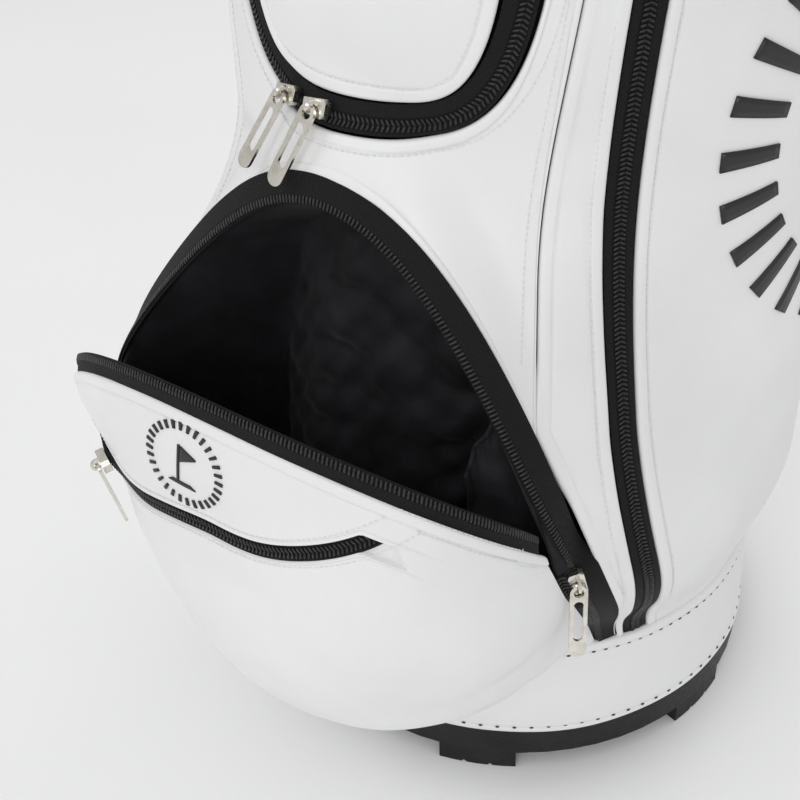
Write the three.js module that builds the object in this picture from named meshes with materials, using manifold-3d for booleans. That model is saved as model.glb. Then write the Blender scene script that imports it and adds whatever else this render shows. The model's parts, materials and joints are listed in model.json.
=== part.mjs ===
// A golf staff bag standing on its base, with the ball pocket at the front unzipped and open.
// Millimetres. +Z is up, the ball pocket faces -Y and +X is on the right as seen from the front.
// Angles round the bag are in degrees from the front, positive towards +X.
import * as THREE from "three";
import { mergeVertices } from "three/addons/utils/BufferGeometryUtils.js";
import Module from "manifold-3d";

const wasm = await Module();
wasm.setup();

// ---------------------------------------------------------------- driving dimensions

const gap = 0.4; // air between two pieces that touch
const skin = 3; // foam-backed leather
const overallHeight = 905;

const baseRadius = 150; // at the top of the moulded tray
const bandTaper = 5;
const bandTopRadius = baseRadius - bandTaper;
const waistFlare = 7; // how far the body widens above the band
const bodyRadius = bandTopRadius + waistFlare;
const bodyTaper = 6; // from the middle of the body to the cuff
const bodyTopRadius = bodyRadius - bodyTaper;
const frameRoom = 12; // between the band and the barrel inside it
const barrelRadius = bandTopRadius - frameRoom;

const footHeight = 12.5;
const footCount = 6;
const firstFoot = 26; // degrees from the front
const footAngle = 18; // length of one foot round the rim
const footWidth = 26;
const footInset = 1.2; // from the edge of the tray
const trayTop = 32;
const trayInnerTop = 58; // the wall that the band is stitched to
const trayFloor = 5;
const bandTop = 96;
const bandWall = 3.2;

const barrelWall = 2;
const dividerWall = 2;
const linerStand = 7.5; // of the pockets' linings outside the barrel
const linerThickness = 1.2;
const dividerSpacing = 86;
const floorPadThickness = 6;

const cuffHeight = 48;
const cuffWall = 5;
const bodyTop = overallHeight - cuffHeight; // where the skin meets the cuff
const sideBulge = 18; // of the long clothes pockets
const backSeamAngle = 146; // where the side pockets meet the back panel
const seamAngle = 36; // the piped seams that edge the front panel

const archHeight = 283; // ball pocket, above the band
const archAngle = 43;
const archFlareAngle = 12; // extra width of the arch at the band
const archRadius = bodyRadius + 28; // of the skin beside the arch
const pocketSpread = { left: 80, right: 46 }; // how far the open pocket's sides stand out
const sliderLevel = { left: 192, right: 212 }; // where the two ball pocket sliders wait
const spreadLevel = 200;
const hood = 16; // how far the skin stands out above the arch

const flapStand = 104; // how far the open flap stands out in front of the body
const flapFront = bodyRadius + flapStand;
const flapLean = 8; // how far the rim leans back from there
const flapHinge = 205; // level of the fold across the front
const flapRimLevel = 292;
const flapWall = 3;
const frontSteps = 22; // of the pocket's front from side to side
const frontRoundness = 1.7; // the front's plan, from an ellipse at the band
const frontSquareness = 2.5; // to a squarer curve at the rim
const leftNarrowing = 0.26; // how much the pocket's left side is drawn in below the rim
const bellyDroop = 60; // pulls the pocket's belly down below its seam
const rimGap = 0.6; // air between the flap and the tape on its rim
const slitWidth = 10;
const slitEnds = [-108, 92]; // left and right end of the slit pocket's zip

const upperPocketTurn = 4;
const upperPocketBottom = 415;
const upperPocketTop = 700;
const upperPocketAngle = 29;
const upperPocketStand = 9;
const upperSliderAngles = { left: -9, right: -1.5 };

const sideZipAngle = 50;
const sideZipTop = 790;
const tapeWidth = 13;
const tapeThickness = 1.4;
const chainWidth = 15;
const tapeSink = 0.8; // of the zips' faces below the leather

const stayRadius = 2;
const stayAngles = [65, 115, 245, 295];
const sideLinerAngles = [72, 108]; // between the stays

const sliderLength = 13;
const sliderWidth = 9;
const sliderHeight = 4.5;
const eyeRadius = 2.6; // the eye on the slider that the tab hangs from
const eyeBar = 0.8;
const eyeLift = 1.9; // of the tab's pivot above the slider
const sliderClearance = 0.6; // between a slider and the skin under it
const tabLength = 42;
const tabWidth = 9;
const tabThickness = 1.6;
const tabHole = 2.6;

const webWidth = 38;
const webThickness = 2.4;
const strapPadWidth = 72;
const strapPadThickness = 16;
const strapTop = 838;
const strapBottom = 430;
const strapBow = 95; // how far the shoulder strap stands out behind the bag
const ringBar = 2.2;
const ringHeight = 46;
const ringReach = 26;
const anchorReach = 7;
const strapStand = 6; // of the rings' pivots behind the body

const handleAngle = 62; // round the cuff, from end to end
const handleReach = 42;
const handleRadius = 8;
const towelRingRadius = 24;
const towelAngle = -100;
const towelLevel = 800;

// ---------------------------------------------------------------- materials

const whiteLeather = () => new THREE.MeshStandardMaterial({ color: 0xf1f1f3, roughness: 0.5 });
const blackTape = () => new THREE.MeshStandardMaterial({ color: 0x141414, roughness: 0.85 });
const blackPlastic = () => new THREE.MeshStandardMaterial({ color: 0x1a1a1b, roughness: 0.6 });
const lining = () => new THREE.MeshStandardMaterial({ color: 0x1c1c1e, roughness: 0.95 });
const nickel = () => new THREE.MeshStandardMaterial({ color: 0xcfcabf, roughness: 0.25, metalness: 1 });
const rodSteel = () => new THREE.MeshStandardMaterial({ color: 0x9a9da0, roughness: 0.4, metalness: 1 });
const board = () => new THREE.MeshStandardMaterial({ color: 0x2b2b2d, roughness: 0.7 });

// ---------------------------------------------------------------- small helpers

const radians = (degrees) => (degrees * Math.PI) / 180;
const clamp01 = (value) => Math.min(1, Math.max(0, value));
const mix = (a, b, t) => a + (b - a) * t;
const smooth = (a, b, value) => {
  const t = clamp01((value - a) / (b - a));
  return t * t * (3 - 2 * t);
};
const bell = (t) => Math.sin(Math.PI * clamp01(t)) ** 2;

// A point at an angle round the bag.
const round = (angle, radius, z) =>
  new THREE.Vector3(radius * Math.sin(radians(angle)), -radius * Math.cos(radians(angle)), z);
const outwards = (angle) => round(angle, 1, 0);

const group = new THREE.Group();
function add(name, geometry, material) {
  const mesh = new THREE.Mesh(geometry, material);
  mesh.name = name;
  group.add(mesh);
  return mesh;
}

function indexed(points, triangles) {
  const geometry = new THREE.BufferGeometry();
  const places = points.flatMap((p) => p.toArray());
  geometry.setAttribute("position", new THREE.Float32BufferAttribute(places, 3));
  geometry.setIndex(triangles);
  return volume(points, triangles) < 0 ? flipped(geometry) : geometry;
}

function volume(points, triangles) {
  let six = 0;
  const cross = new THREE.Vector3();
  for (let i = 0; i < triangles.length; i += 3) {
    cross.crossVectors(points[triangles[i + 1]], points[triangles[i + 2]]);
    six += points[triangles[i]].dot(cross);
  }
  return six;
}

function flipped(geometry) {
  const index = geometry.getIndex().array;
  for (let i = 0; i < index.length; i += 3) {
    [index[i], index[i + 1]] = [index[i + 1], index[i]];
  }
  return geometry;
}

// A sheet of material: point(u, v, depth) for u and v from 0 to 1, depth 0 on the face and 1 behind it.
function sheet(point, across, along) {
  const points = [];
  const triangles = [];
  const at = (i, j, depth) => depth * (across + 1) * (along + 1) + j * (across + 1) + i;
  for (const depth of [0, 1]) {
    for (let j = 0; j <= along; j++) {
      for (let i = 0; i <= across; i++) {
        points.push(point(i / across, j / along, depth));
      }
    }
  }
  const quad = (a, b, c, d) => triangles.push(a, b, c, a, c, d);
  for (let j = 0; j < along; j++) {
    for (let i = 0; i < across; i++) {
      quad(at(i, j, 0), at(i + 1, j, 0), at(i + 1, j + 1, 0), at(i, j + 1, 0));
      quad(at(i, j, 1), at(i, j + 1, 1), at(i + 1, j + 1, 1), at(i + 1, j, 1));
    }
  }
  for (let i = 0; i < across; i++) {
    quad(at(i, 0, 1), at(i + 1, 0, 1), at(i + 1, 0, 0), at(i, 0, 0));
    quad(at(i, along, 0), at(i + 1, along, 0), at(i + 1, along, 1), at(i, along, 1));
  }
  for (let j = 0; j < along; j++) {
    quad(at(0, j, 0), at(0, j + 1, 0), at(0, j + 1, 1), at(0, j, 1));
    quad(at(across, j, 1), at(across, j + 1, 1), at(across, j + 1, 0), at(across, j, 0));
  }
  return indexed(points, triangles);
}

// A flat strip along a path: path(t) gives its centre, its sideways and its outward direction.
function ribbon(path, width, thickness, steps) {
  return sheet(
    (u, v, depth) => {
      const { centre, sideways, out } = path(v);
      return centre
        .clone()
        .addScaledVector(sideways, (u - 0.5) * width)
        .addScaledVector(out, -depth * thickness);
    },
    1,
    steps,
  );
}

function lathe(profile, segments) {
  const geometry = new THREE.LatheGeometry(profile.map(([r, z]) => new THREE.Vector2(r, z)), segments);
  geometry.rotateX(Math.PI / 2);
  return geometry;
}

function box(x, y, z, place) {
  const geometry = new THREE.BoxGeometry(x, y, z);
  geometry.translate(place[0], place[1], place[2]);
  return geometry;
}

function toSolid(geometry) {
  const bare = geometry.clone();
  bare.deleteAttribute("normal");
  bare.deleteAttribute("uv");
  const merged = mergeVertices(bare, 1e-4);
  return new wasm.Manifold(
    new wasm.Mesh({
      numProp: 3,
      vertProperties: new Float32Array(merged.getAttribute("position").array),
      triVerts: new Uint32Array(merged.getIndex().array),
    }),
  );
}

function toGeometry(solid) {
  const mesh = solid.getMesh();
  const geometry = new THREE.BufferGeometry();
  geometry.setAttribute("position", new THREE.BufferAttribute(new Float32Array(mesh.vertProperties), 3));
  geometry.setIndex(new THREE.BufferAttribute(new Uint32Array(mesh.triVerts), 1));
  return geometry;
}

const joined = (...pieces) => toGeometry(pieces.map(toSolid).reduce((a, b) => a.add(b)));
const cut = (piece, ...tools) =>
  toGeometry(tools.map(toSolid).reduce((a, b) => a.subtract(b), toSolid(piece)));
const common = (a, b) => toGeometry(toSolid(a).intersect(toSolid(b)));

// Lays a geometry made in the XYZ of a small piece into the bag: right, along and out are directions.
function laid(geometry, origin, right, along, out) {
  const matrix = new THREE.Matrix4().makeBasis(right, along, out).setPosition(origin);
  return geometry.clone().applyMatrix4(matrix);
}

// Puts a mesh at an origin and turns its X, Y and Z to three directions.
function place(mesh, origin, right, along, out) {
  mesh.position.copy(origin);
  mesh.quaternion.setFromRotationMatrix(new THREE.Matrix4().makeBasis(right, along, out));
}

// ---------------------------------------------------------------- the body's surface

const archTop = bandTop + archHeight;

// Half-angle of the ball pocket's arch at a level, and the arch's level at an angle. Both can be grown.
const toDegrees = (distance, radius) => (distance / radius) * (180 / Math.PI);
function archAt(z, grow = 0) {
  const t = clamp01((z - bandTop) / (archHeight + grow));
  return (archAngle + toDegrees(grow, archRadius)) * Math.sqrt(1 - t * t) + archFlareAngle * (1 - t) ** 3;
}
function archLevel(angle, grow = 0) {
  const share = Math.min(1, Math.abs(angle) / (archAngle + toDegrees(grow, archRadius)));
  return bandTop + (archHeight + grow) * Math.sqrt(1 - share * share);
}

// The long side zip leans forward from the band and then runs nearly upright.
function zipAt(z) {
  const lean = Math.max(0, 272 - z) / 177;
  return sideZipAngle + 12.5 * lean ** 1.6 + 6 * smooth(368, 600, z);
}
const seamAt = (z) => seamAngle + 9 * smooth(340, 560, z);
const frontEdgeAt = (z) => Math.max(archAt(z), seamAt(z));

// Radius of the outside of the skin.
function surface(angle, z) {
  const turn = Math.abs(angle);
  const side = angle < 0 ? "left" : "right";
  const waist = mix(bandTopRadius + 1, bodyRadius, smooth(bandTop, 150, z));
  const body = mix(waist, bodyTopRadius, smooth(600, bodyTop, z));
  const rise = z > spreadLevel ? (z - spreadLevel) / 215 : (spreadLevel - z) / 108;
  const spread = Math.cos((Math.PI / 2) * clamp01(rise)) ** 2;
  const fall = 1 - smooth(0, 44, turn - archAt(z));
  const above = Math.max(0, z - archLevel(angle));
  const overArch = (1 - smooth(0, 60, above)) * (1 - smooth(20, 60, turn));
  const brow = hood * smooth(bandTop, spreadLevel, z) * overArch;
  const upper = upperPocketStand * bell((angle - upperPocketTurn + 50) / 100) * bell((z - 360) / 420);
  const fullness = smooth(bandTop, 190, z) * (1 - smooth(600, 830, z));
  const sideways = sideBulge * bell((turn - 44) / 96) * fullness;
  return body + pocketSpread[side] * spread * fall + brow + upper + sideways;
}

// A panel of the skin between two edges, given as angles at a level.
function panel(leftEdge, rightEdge, bottom, top, across, along) {
  const margin = 0.15; // degrees of air at each edge
  return sheet(
    (u, v, depth) => {
      const z = mix(bottom, top, v);
      const angle = mix(leftEdge(z) + margin, rightEdge(z) - margin, u);
      return round(angle, surface(angle, z) - depth * skin, z);
    },
    across,
    along,
  );
}

// ---------------------------------------------------------------- base

function baseTray() {
  const tray = lathe(
    [
      [0, footHeight],
      [baseRadius - 1, footHeight],
      [baseRadius, trayTop - gap],
      [baseRadius - bandWall - 1, trayTop - gap],
      [baseRadius - bandWall - 3, trayInnerTop],
      [baseRadius - bandWall - 6, trayInnerTop],
      [baseRadius - bandWall - 6, footHeight + trayFloor],
      [0, footHeight + trayFloor],
    ],
    60,
  );
  const feet = [];
  for (let i = 0; i < footCount; i++) {
    feet.push(foot(firstFoot + (i * 360) / footCount));
  }
  return joined(tray, ...feet);
}

// One foot of the tray, with two small drain grooves under it.
function foot(middle) {
  const block = sheet(
    (u, v, depth) => {
      const radius = baseRadius - footInset - depth * footWidth;
      return round(middle + (u - 0.5) * footAngle, radius, mix(0, footHeight + 1, v));
    },
    6,
    1,
  );
  const grooves = [-0.17, 0.17].map((share) => {
    const groove = new THREE.CylinderGeometry(1.8, 1.8, footWidth * 3, 4);
    const direction = outwards(middle + share * footAngle);
    const up = new THREE.Vector3(0, 0, 1);
    const place = direction.clone().multiplyScalar(baseRadius - footWidth / 2);
    return laid(groove, place, new THREE.Vector3().crossVectors(direction, up), direction, up);
  });
  return cut(block, ...grooves);
}

function baseBand() {
  return lathe(
    [
      [baseRadius, trayTop],
      [bandTopRadius, bandTop - gap],
      [bandTopRadius - bandWall, bandTop - gap],
      [baseRadius - bandWall, trayTop],
      [baseRadius, trayTop],
    ],
    60,
  );
}

const insideFloor = footHeight + trayFloor;

function buildBase() {
  add("base_tray", baseTray(), blackPlastic());
  add("base_band", baseBand(), whiteLeather());
  const padRadius = barrelRadius - barrelWall - 1;
  const pad = new THREE.CylinderGeometry(padRadius, padRadius, floorPadThickness, 48);
  pad.rotateX(Math.PI / 2);
  pad.translate(0, 0, insideFloor + gap + floorPadThickness / 2);
  add("floor_pad", pad, lining());
}

// ---------------------------------------------------------------- frame

function buildFrame() {
  const inner = barrelRadius - barrelWall;
  const low = insideFloor + gap;
  const profile = [
    [barrelRadius, low],
    [barrelRadius, bodyTop],
    [inner, bodyTop],
    [inner, low],
    [barrelRadius, low],
  ];
  add("barrel", lathe(profile, 48), board());
  stayAngles.forEach((angle, i) => {
    const length = bodyTop - insideFloor - gap;
    const rod = new THREE.CylinderGeometry(stayRadius, stayRadius, length, 10);
    rod.rotateX(Math.PI / 2);
    const place = round(angle, barrelRadius + stayRadius + gap, insideFloor + gap + length / 2);
    rod.translate(place.x, place.y, place.z);
    add(`stay_rod_${i + 1}`, rod, rodSteel());
  });
}

// The dividers: one wall from front to back and two across it, making six compartments.
function dividerWalls(reach, thickness, bottom, top) {
  const walls = [box(thickness, 2 * reach, top - bottom, [0, 0, (top + bottom) / 2])];
  for (const side of [-1, 1]) {
    const y = (side * dividerSpacing) / 2;
    const half = Math.sqrt(reach * reach - (Math.abs(y) + thickness / 2) ** 2);
    walls.push(box(2 * half, thickness, top - bottom, [0, y, (top + bottom) / 2]));
  }
  return walls;
}

const dividerBottom = insideFloor + floorPadThickness + 2 * gap;
const collarInner = barrelRadius - 4;

function buildTop() {
  const cuff = lathe(
    [
      [barrelRadius + 0.5, bodyTop + gap],
      [bodyTopRadius, bodyTop + gap],
      [bodyTopRadius + 2, bodyTop + 10],
      [bodyTopRadius + 1, overallHeight - 8],
      [bodyTopRadius - 3, overallHeight],
      [bodyTopRadius - 3 - cuffWall, overallHeight],
      [barrelRadius + 0.5, overallHeight - 10],
      [barrelRadius + 0.5, bodyTop + gap],
    ],
    48,
  );
  add("top_cuff", cuff, whiteLeather());
  const low = bodyTop + gap;
  const high = overallHeight - 12;
  const ringProfile = [
    [collarInner, low],
    [barrelRadius, low],
    [barrelRadius, high],
    [collarInner, high],
    [collarInner, low],
  ];
  const walls = dividerWalls(collarInner + 1, 6, low, high);
  add("divider_collar", joined(lathe(ringProfile, 48), ...walls), blackPlastic());
  const reach = barrelRadius - barrelWall - 1;
  const sheets = dividerWalls(reach, dividerWall, dividerBottom, bodyTop - gap);
  add("club_dividers", joined(...sheets), lining());
}

// ---------------------------------------------------------------- skin

const skinBottom = bandTop + gap;
const chainHalf = (z) => toDegrees(chainWidth / 2, surface(sideZipAngle, z));
const tapeRoom = tapeWidth / 2 + 1;

function frontPanel() {
  const whole = sheet(
    (u, v, depth) => {
      const share = 2 * u - 1;
      const bottom = archLevel(share * seamAngle, tapeRoom + 1);
      const z = mix(bottom, bodyTop, v);
      const angle = share * (seamAt(z) - 0.15);
      return round(angle, surface(angle, z) - depth * skin, z);
    },
    16,
    18,
  );
  return cut(whole, upperPocketPrism(chainWidth / 2 + gap, upperPocketTop));
}

// The upper pocket's outline, laid flat: a U that widens upwards. Share is 0 at its left top and 1 at
// its right top.
function upperPocketEdge(share) {
  const s = 2 * share - 1;
  const widen = 1 - (1 - Math.min(1, Math.abs(s) * 1.3)) ** 1.7;
  const angle = Math.sign(s) * upperPocketAngle * widen;
  const x = (bodyRadius + upperPocketStand) * Math.sin(radians(angle));
  return new THREE.Vector2(x, mix(upperPocketBottom, upperPocketTop, Math.abs(s) ** 3.2));
}

// A prism through the skin along the pocket's outline, grown by a distance up to a ceiling.
function upperPocketPrism(grow, ceiling) {
  const steps = 22;
  const outline = [];
  for (let i = 0; i <= steps; i++) {
    const share = i / steps;
    const before = upperPocketEdge(Math.max(0, share - 0.01));
    const along = upperPocketEdge(Math.min(1, share + 0.01)).sub(before);
    const away = new THREE.Vector2(along.y, -along.x).normalize();
    const point = upperPocketEdge(share).addScaledVector(away, grow);
    point.y = i === 0 || i === steps ? ceiling : Math.min(ceiling, point.y);
    outline.push(point);
  }
  const prism = new THREE.ExtrudeGeometry(new THREE.Shape(outline), { depth: 120, bevelEnabled: false });
  prism.rotateX(Math.PI / 2);
  prism.translate(0, -100, 0);
  prism.rotateZ(radians(upperPocketTurn));
  return prism;
}

function sideGusset(side) {
  const inner = (z) => Math.max(seamAt(z), archAt(z, tapeRoom));
  const outer = (z) => zipAt(z) - chainHalf(z);
  const edges = side > 0 ? [inner, outer] : [(z) => -outer(z), (z) => -inner(z)];
  return panel(edges[0], edges[1], skinBottom, bodyTop, 3, 34);
}

function sidePanel(side) {
  const inner = (z) => zipAt(z) + chainHalf(z);
  const outer = () => backSeamAngle;
  const edges = side > 0 ? [inner, outer] : [() => -backSeamAngle, (z) => -inner(z)];
  return panel(edges[0], edges[1], skinBottom, bodyTop, 9, 22);
}

function buildSkin() {
  add("front_panel", frontPanel(), whiteLeather());
  add("gusset_right", sideGusset(1), whiteLeather());
  add("gusset_left", sideGusset(-1), whiteLeather());
  add("side_pocket_right", sidePanel(1), whiteLeather());
  add("side_pocket_left", sidePanel(-1), whiteLeather());
  const back = panel(() => backSeamAngle, () => 360 - backSeamAngle, skinBottom, bodyTop, 10, 8);
  add("back_panel", back, whiteLeather());
}

// ---------------------------------------------------------------- zips

// The chain of a side zip, a strip that fills the slot between the gusset and the side pocket.
function sideZip(side) {
  return ribbon(
    (t) => {
      const z = mix(skinBottom + 1, bodyTop - 2, t);
      const angle = side * zipAt(z);
      const out = outwards(angle);
      const sideways = new THREE.Vector3(-out.y, out.x, 0);
      return { centre: round(angle, surface(angle, z) - 1, z), sideways, out };
    },
    chainWidth - 1.2,
    tapeThickness,
    34,
  );
}

// The body half of the ball pocket's zip: up one side, over the arch and down the other.
function archPath(t) {
  const sweep = mix(-1, 1, t);
  const lift = Math.cos((Math.PI / 2) * sweep);
  const z = mix(bandTop + 1.5, archTop, lift);
  const angle = Math.sign(sweep) * archAt(z);
  return round(angle, surface(angle, z), z);
}

// Directions at a place on a path that lies on the bag: along it, across it and out of the surface.
function pathFrame(place, t, step = 0.004) {
  const along = place(Math.min(1, t + step)).sub(place(Math.max(0, t - step))).normalize();
  const centre = place(t);
  const radial = new THREE.Vector3(centre.x, centre.y, 0).normalize();
  const sideways = new THREE.Vector3().crossVectors(along, radial).normalize();
  return { centre, along, sideways, out: new THREE.Vector3().crossVectors(sideways, along).normalize() };
}

function archTape() {
  return ribbon((t) => pathFrame(archPath, t), tapeWidth - 1.2, tapeThickness, 44);
}

// The upper pocket's leather and its zip, both cut from the skin by the pocket's outline.
function upperPocketSheet(thickness, lift) {
  return sheet(
    (u, v, depth) => {
      const angle = upperPocketTurn + (2 * u - 1) * (upperPocketAngle + 8);
      const z = mix(upperPocketBottom - 20, upperPocketTop, v);
      return round(angle, surface(angle, z) + lift - depth * thickness, z);
    },
    12,
    10,
  );
}

function buildUpperPocket() {
  const inside = upperPocketPrism(-chainWidth / 2 - gap, upperPocketTop - gap);
  add("upper_pocket", common(upperPocketSheet(skin, 0), inside), whiteLeather());
  const outer = upperPocketPrism(chainWidth / 2 - gap, upperPocketTop - gap);
  const band = common(upperPocketSheet(tapeThickness, -tapeSink), outer);
  const inner = upperPocketPrism(-chainWidth / 2 + gap, upperPocketTop + 20);
  add("upper_zip", cut(band, inner), blackTape());
}

// ---------------------------------------------------------------- the open ball pocket

const sideOf = (side) => (side < 0 ? "left" : "right");

// Where the pocket's front is zipped to the body, at a level: just inside the arch.
function zipLine(side, z) {
  const angle = side * archAt(z, -tapeRoom - 1.5);
  return round(angle, surface(angle, z) - 1, z);
}

// Profiles of the pocket's front on the bag's middle plane, as distance in front and level.
const bellyProfile = new THREE.CubicBezierCurve(
  new THREE.Vector2(bandTopRadius + 2, skinBottom),
  new THREE.Vector2(bandTopRadius + 70, skinBottom - bellyDroop),
  new THREE.Vector2(flapFront, 120),
  new THREE.Vector2(flapFront, flapHinge),
);
const flapProfile = new THREE.CubicBezierCurve(
  new THREE.Vector2(flapFront, flapHinge + 1),
  new THREE.Vector2(flapFront + 3, flapHinge + 40),
  new THREE.Vector2(flapFront, flapRimLevel - 25),
  new THREE.Vector2(flapFront - flapLean, flapRimLevel),
);

// A point on the pocket's front. u runs from the left zip to the right, rise is the place on the
// profile, and low and high are the levels that it covers where it meets the zip on each side.
// The left side is drawn in by the share narrowing, except next to the zip.
function frontPoint(u, rise, profile, squareness, low, high, narrowing) {
  const turn = (2 * u - 1) * (Math.PI / 2);
  const across = Math.sign(turn) * Math.abs(Math.sin(turn)) ** (2 / squareness);
  const forward = Math.abs(Math.cos(turn)) ** (2 / squareness);
  const side = turn < 0 ? -1 : 1;
  const edge = zipLine(side, mix(low(side), high(side), rise));
  const front = profile.getPoint(rise);
  const drawn = side < 0 ? 1 - narrowing * smooth(0, 0.6, forward) : 1;
  return new THREE.Vector3(
    Math.abs(edge.x) * across * drawn,
    mix(edge.y, -front.x, forward),
    mix(edge.z, front.y, forward),
  );
}

const levelOf = (side) => sliderLevel[sideOf(side)];
const bellyLow = () => skinBottom + 1;
const flapLow = (side) => levelOf(side) + 1;
const flapHigh = (side) => levelOf(side) + 7;
const bellyPoint = (u, v) => {
  const squareness = mix(frontRoundness, frontSquareness, v);
  const narrowing = leftNarrowing * smooth(0.05, 0.6, v);
  return frontPoint(u, v, bellyProfile, squareness, bellyLow, levelOf, narrowing);
};
const flapPoint = (u, v) => {
  const narrowing = leftNarrowing * (1 - smooth(0, 1, v));
  return frontPoint(u, v, flapProfile, frontSquareness, flapLow, flapHigh, narrowing);
};

// Steps in u that crowd towards the two sides, where the front turns sharply.
const spaced = (u) => 0.5 - 0.5 * Math.cos(Math.PI * u) * (1 - 0.25 * Math.sin(Math.PI * u) ** 2);

function normalAt(point, u, v) {
  const step = 0.003;
  const acrossways = point(Math.min(1, u + step), v).sub(point(Math.max(0, u - step), v));
  const upwards = point(u, Math.min(1, v + step)).sub(point(u, Math.max(0, v - step)));
  return new THREE.Vector3().crossVectors(acrossways, upwards).normalize();
}

function pocketFront(point, along) {
  return sheet(
    (u, v, depth) => {
      const place = mix(0.004, 0.996, spaced(u));
      return point(place, v).addScaledVector(normalAt(point, place, v), -depth * flapWall);
    },
    frontSteps,
    along,
  );
}

function rimTape() {
  return ribbon(
    (t) => {
      const u = mix(0.004, 0.996, spaced(t));
      const sideways = flapPoint(u, 1).sub(flapPoint(u, 0.97)).normalize();
      const out = normalAt(flapPoint, u, 1);
      const centre = flapPoint(u, 1).addScaledVector(sideways, slitWidth / 2 + rimGap);
      centre.addScaledVector(out, -0.5);
      return { centre, sideways, out };
    },
    slitWidth,
    tapeThickness,
    frontSteps,
  );
}

// The slit pocket's zip lies on the flap and climbs towards its right end.
function slitPlace(t) {
  const x = mix(slitEnds[0], slitEnds[1], t);
  const rightRise = 33 * Math.max(0, x / 92) ** 2;
  const leftRise = 12 * (Math.max(0, -50 - x) / 58) ** 1.5;
  const z = 219 + 17 * smooth(-110, 0, x) + leftRise + rightRise;
  return onFlap(x, z);
}

// The point of the flap at a distance across and a level, found by halving.
function onFlap(x, z) {
  const inside = (value, target) => value < target;
  let u = 0.5;
  let v = 0.5;
  for (let pass = 0; pass < 6; pass++) {
    u = halved((value) => inside(flapPoint(value, v).x, x));
    v = halved((value) => inside(flapPoint(u, value).z, z));
  }
  const out = normalAt(flapPoint, u, v);
  return { centre: flapPoint(u, v), out };
}

function halved(below) {
  let low = 0.01;
  let high = 0.99;
  for (let i = 0; i < 24; i++) {
    const middle = (low + high) / 2;
    if (below(middle)) low = middle;
    else high = middle;
  }
  return (low + high) / 2;
}

function slitFrame(t) {
  const step = 0.01;
  const before = slitPlace(Math.max(0, t - step)).centre;
  const along = slitPlace(Math.min(1, t + step)).centre.sub(before).normalize();
  const { centre, out } = slitPlace(t);
  const sideways = new THREE.Vector3().crossVectors(along, out).normalize();
  return { centre: centre.addScaledVector(out, tapeThickness + 0.6), along, sideways, out };
}

function pocketLiner(name, left, right, bottom, top) {
  const liner = sheet(
    (u, v, depth) => {
      const radius = barrelRadius + linerStand - depth * linerThickness;
      return round(mix(left, right, u), radius, mix(bottom, top, v));
    },
    12,
    2,
  );
  add(name, liner, lining());
}

function buildBallPocket() {
  add("ball_pocket_belly", pocketFront(bellyPoint, 9), whiteLeather());
  add("ball_pocket_flap", pocketFront(flapPoint, 6), whiteLeather());
  add("flap_zip_tape", rimTape(), blackTape());
  add("slit_zip", ribbon(slitFrame, slitWidth, tapeThickness, 20), blackTape());
  pocketLiner("ball_pocket_liner", -archAngle, archAngle, skinBottom + 4, archTop - 20);
  const upperLeft = upperPocketTurn - upperPocketAngle;
  const upperRight = upperPocketTurn + upperPocketAngle;
  pocketLiner("upper_pocket_liner", upperLeft, upperRight, upperPocketBottom, upperPocketTop - 10);
  const [sideFrom, sideTo] = sideLinerAngles;
  pocketLiner("side_liner_right", sideFrom, sideTo, skinBottom + 10, bodyTop - 40);
  pocketLiner("side_liner_left", -sideTo, -sideFrom, skinBottom + 10, bodyTop - 40);
}

// ---------------------------------------------------------------- sliders and pull tabs

// The slider's body: a shield-shaped block, lying in its own XY plane with Y along the zip.
function sliderBody() {
  const outline = new THREE.Shape();
  const half = sliderWidth / 2;
  const nose = sliderLength / 2;
  outline.moveTo(-half, nose - 2);
  outline.lineTo(-half * 0.72, -nose);
  outline.lineTo(half * 0.72, -nose);
  outline.lineTo(half, nose - 2);
  outline.lineTo(half - 2, nose);
  outline.lineTo(-half + 2, nose);
  outline.closePath();
  return new THREE.ExtrudeGeometry(outline, { depth: sliderHeight, bevelEnabled: false });
}

// The eye that the tab hangs from: an arch in its own XY plane, Y out of the slider.
function eyeArch() {
  const outer = eyeRadius + eyeBar;
  const inner = eyeRadius - eyeBar;
  const shape = new THREE.Shape();
  shape.moveTo(outer, -0.6);
  shape.absarc(0, eyeLift, outer, 0, Math.PI, false);
  shape.lineTo(-outer, -0.6);
  shape.lineTo(-inner, -0.6);
  shape.absarc(0, eyeLift, inner, Math.PI, 0, true);
  shape.lineTo(inner, -0.6);
  shape.closePath();
  const settings = { depth: 2 * eyeBar, bevelEnabled: false, curveSegments: 6 };
  const arch = new THREE.ExtrudeGeometry(shape, settings);
  arch.translate(0, 0, -eyeBar);
  return arch;
}

// The pull tab, like a paper clip: a ring, a long slot and a rounded end. It hangs along -Y from the
// origin.
function tabPlate() {
  const half = tabWidth / 2;
  const hang = tabHole + (half - tabHole) / 2;
  const outline = new THREE.Shape();
  outline.absarc(0, -hang, half, 0, Math.PI, false);
  outline.absarc(0, -tabLength + half, half, Math.PI, 2 * Math.PI, false);
  outline.closePath();
  const ring = new THREE.Path();
  ring.absarc(0, -hang, tabHole, 0, 2 * Math.PI, true);
  const slot = new THREE.Path();
  const slotHalf = half - 2;
  slot.absarc(0, -hang - half - 3, slotHalf, 0, Math.PI, false);
  slot.absarc(0, -tabLength + 12, slotHalf, Math.PI, 2 * Math.PI, false);
  slot.closePath();
  outline.holes.push(ring, slot);
  const settings = { depth: tabThickness, bevelEnabled: false, curveSegments: 6 };
  const plate = new THREE.ExtrudeGeometry(outline, settings);
  plate.translate(0, 0, -tabThickness / 2);
  return plate;
}

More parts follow.
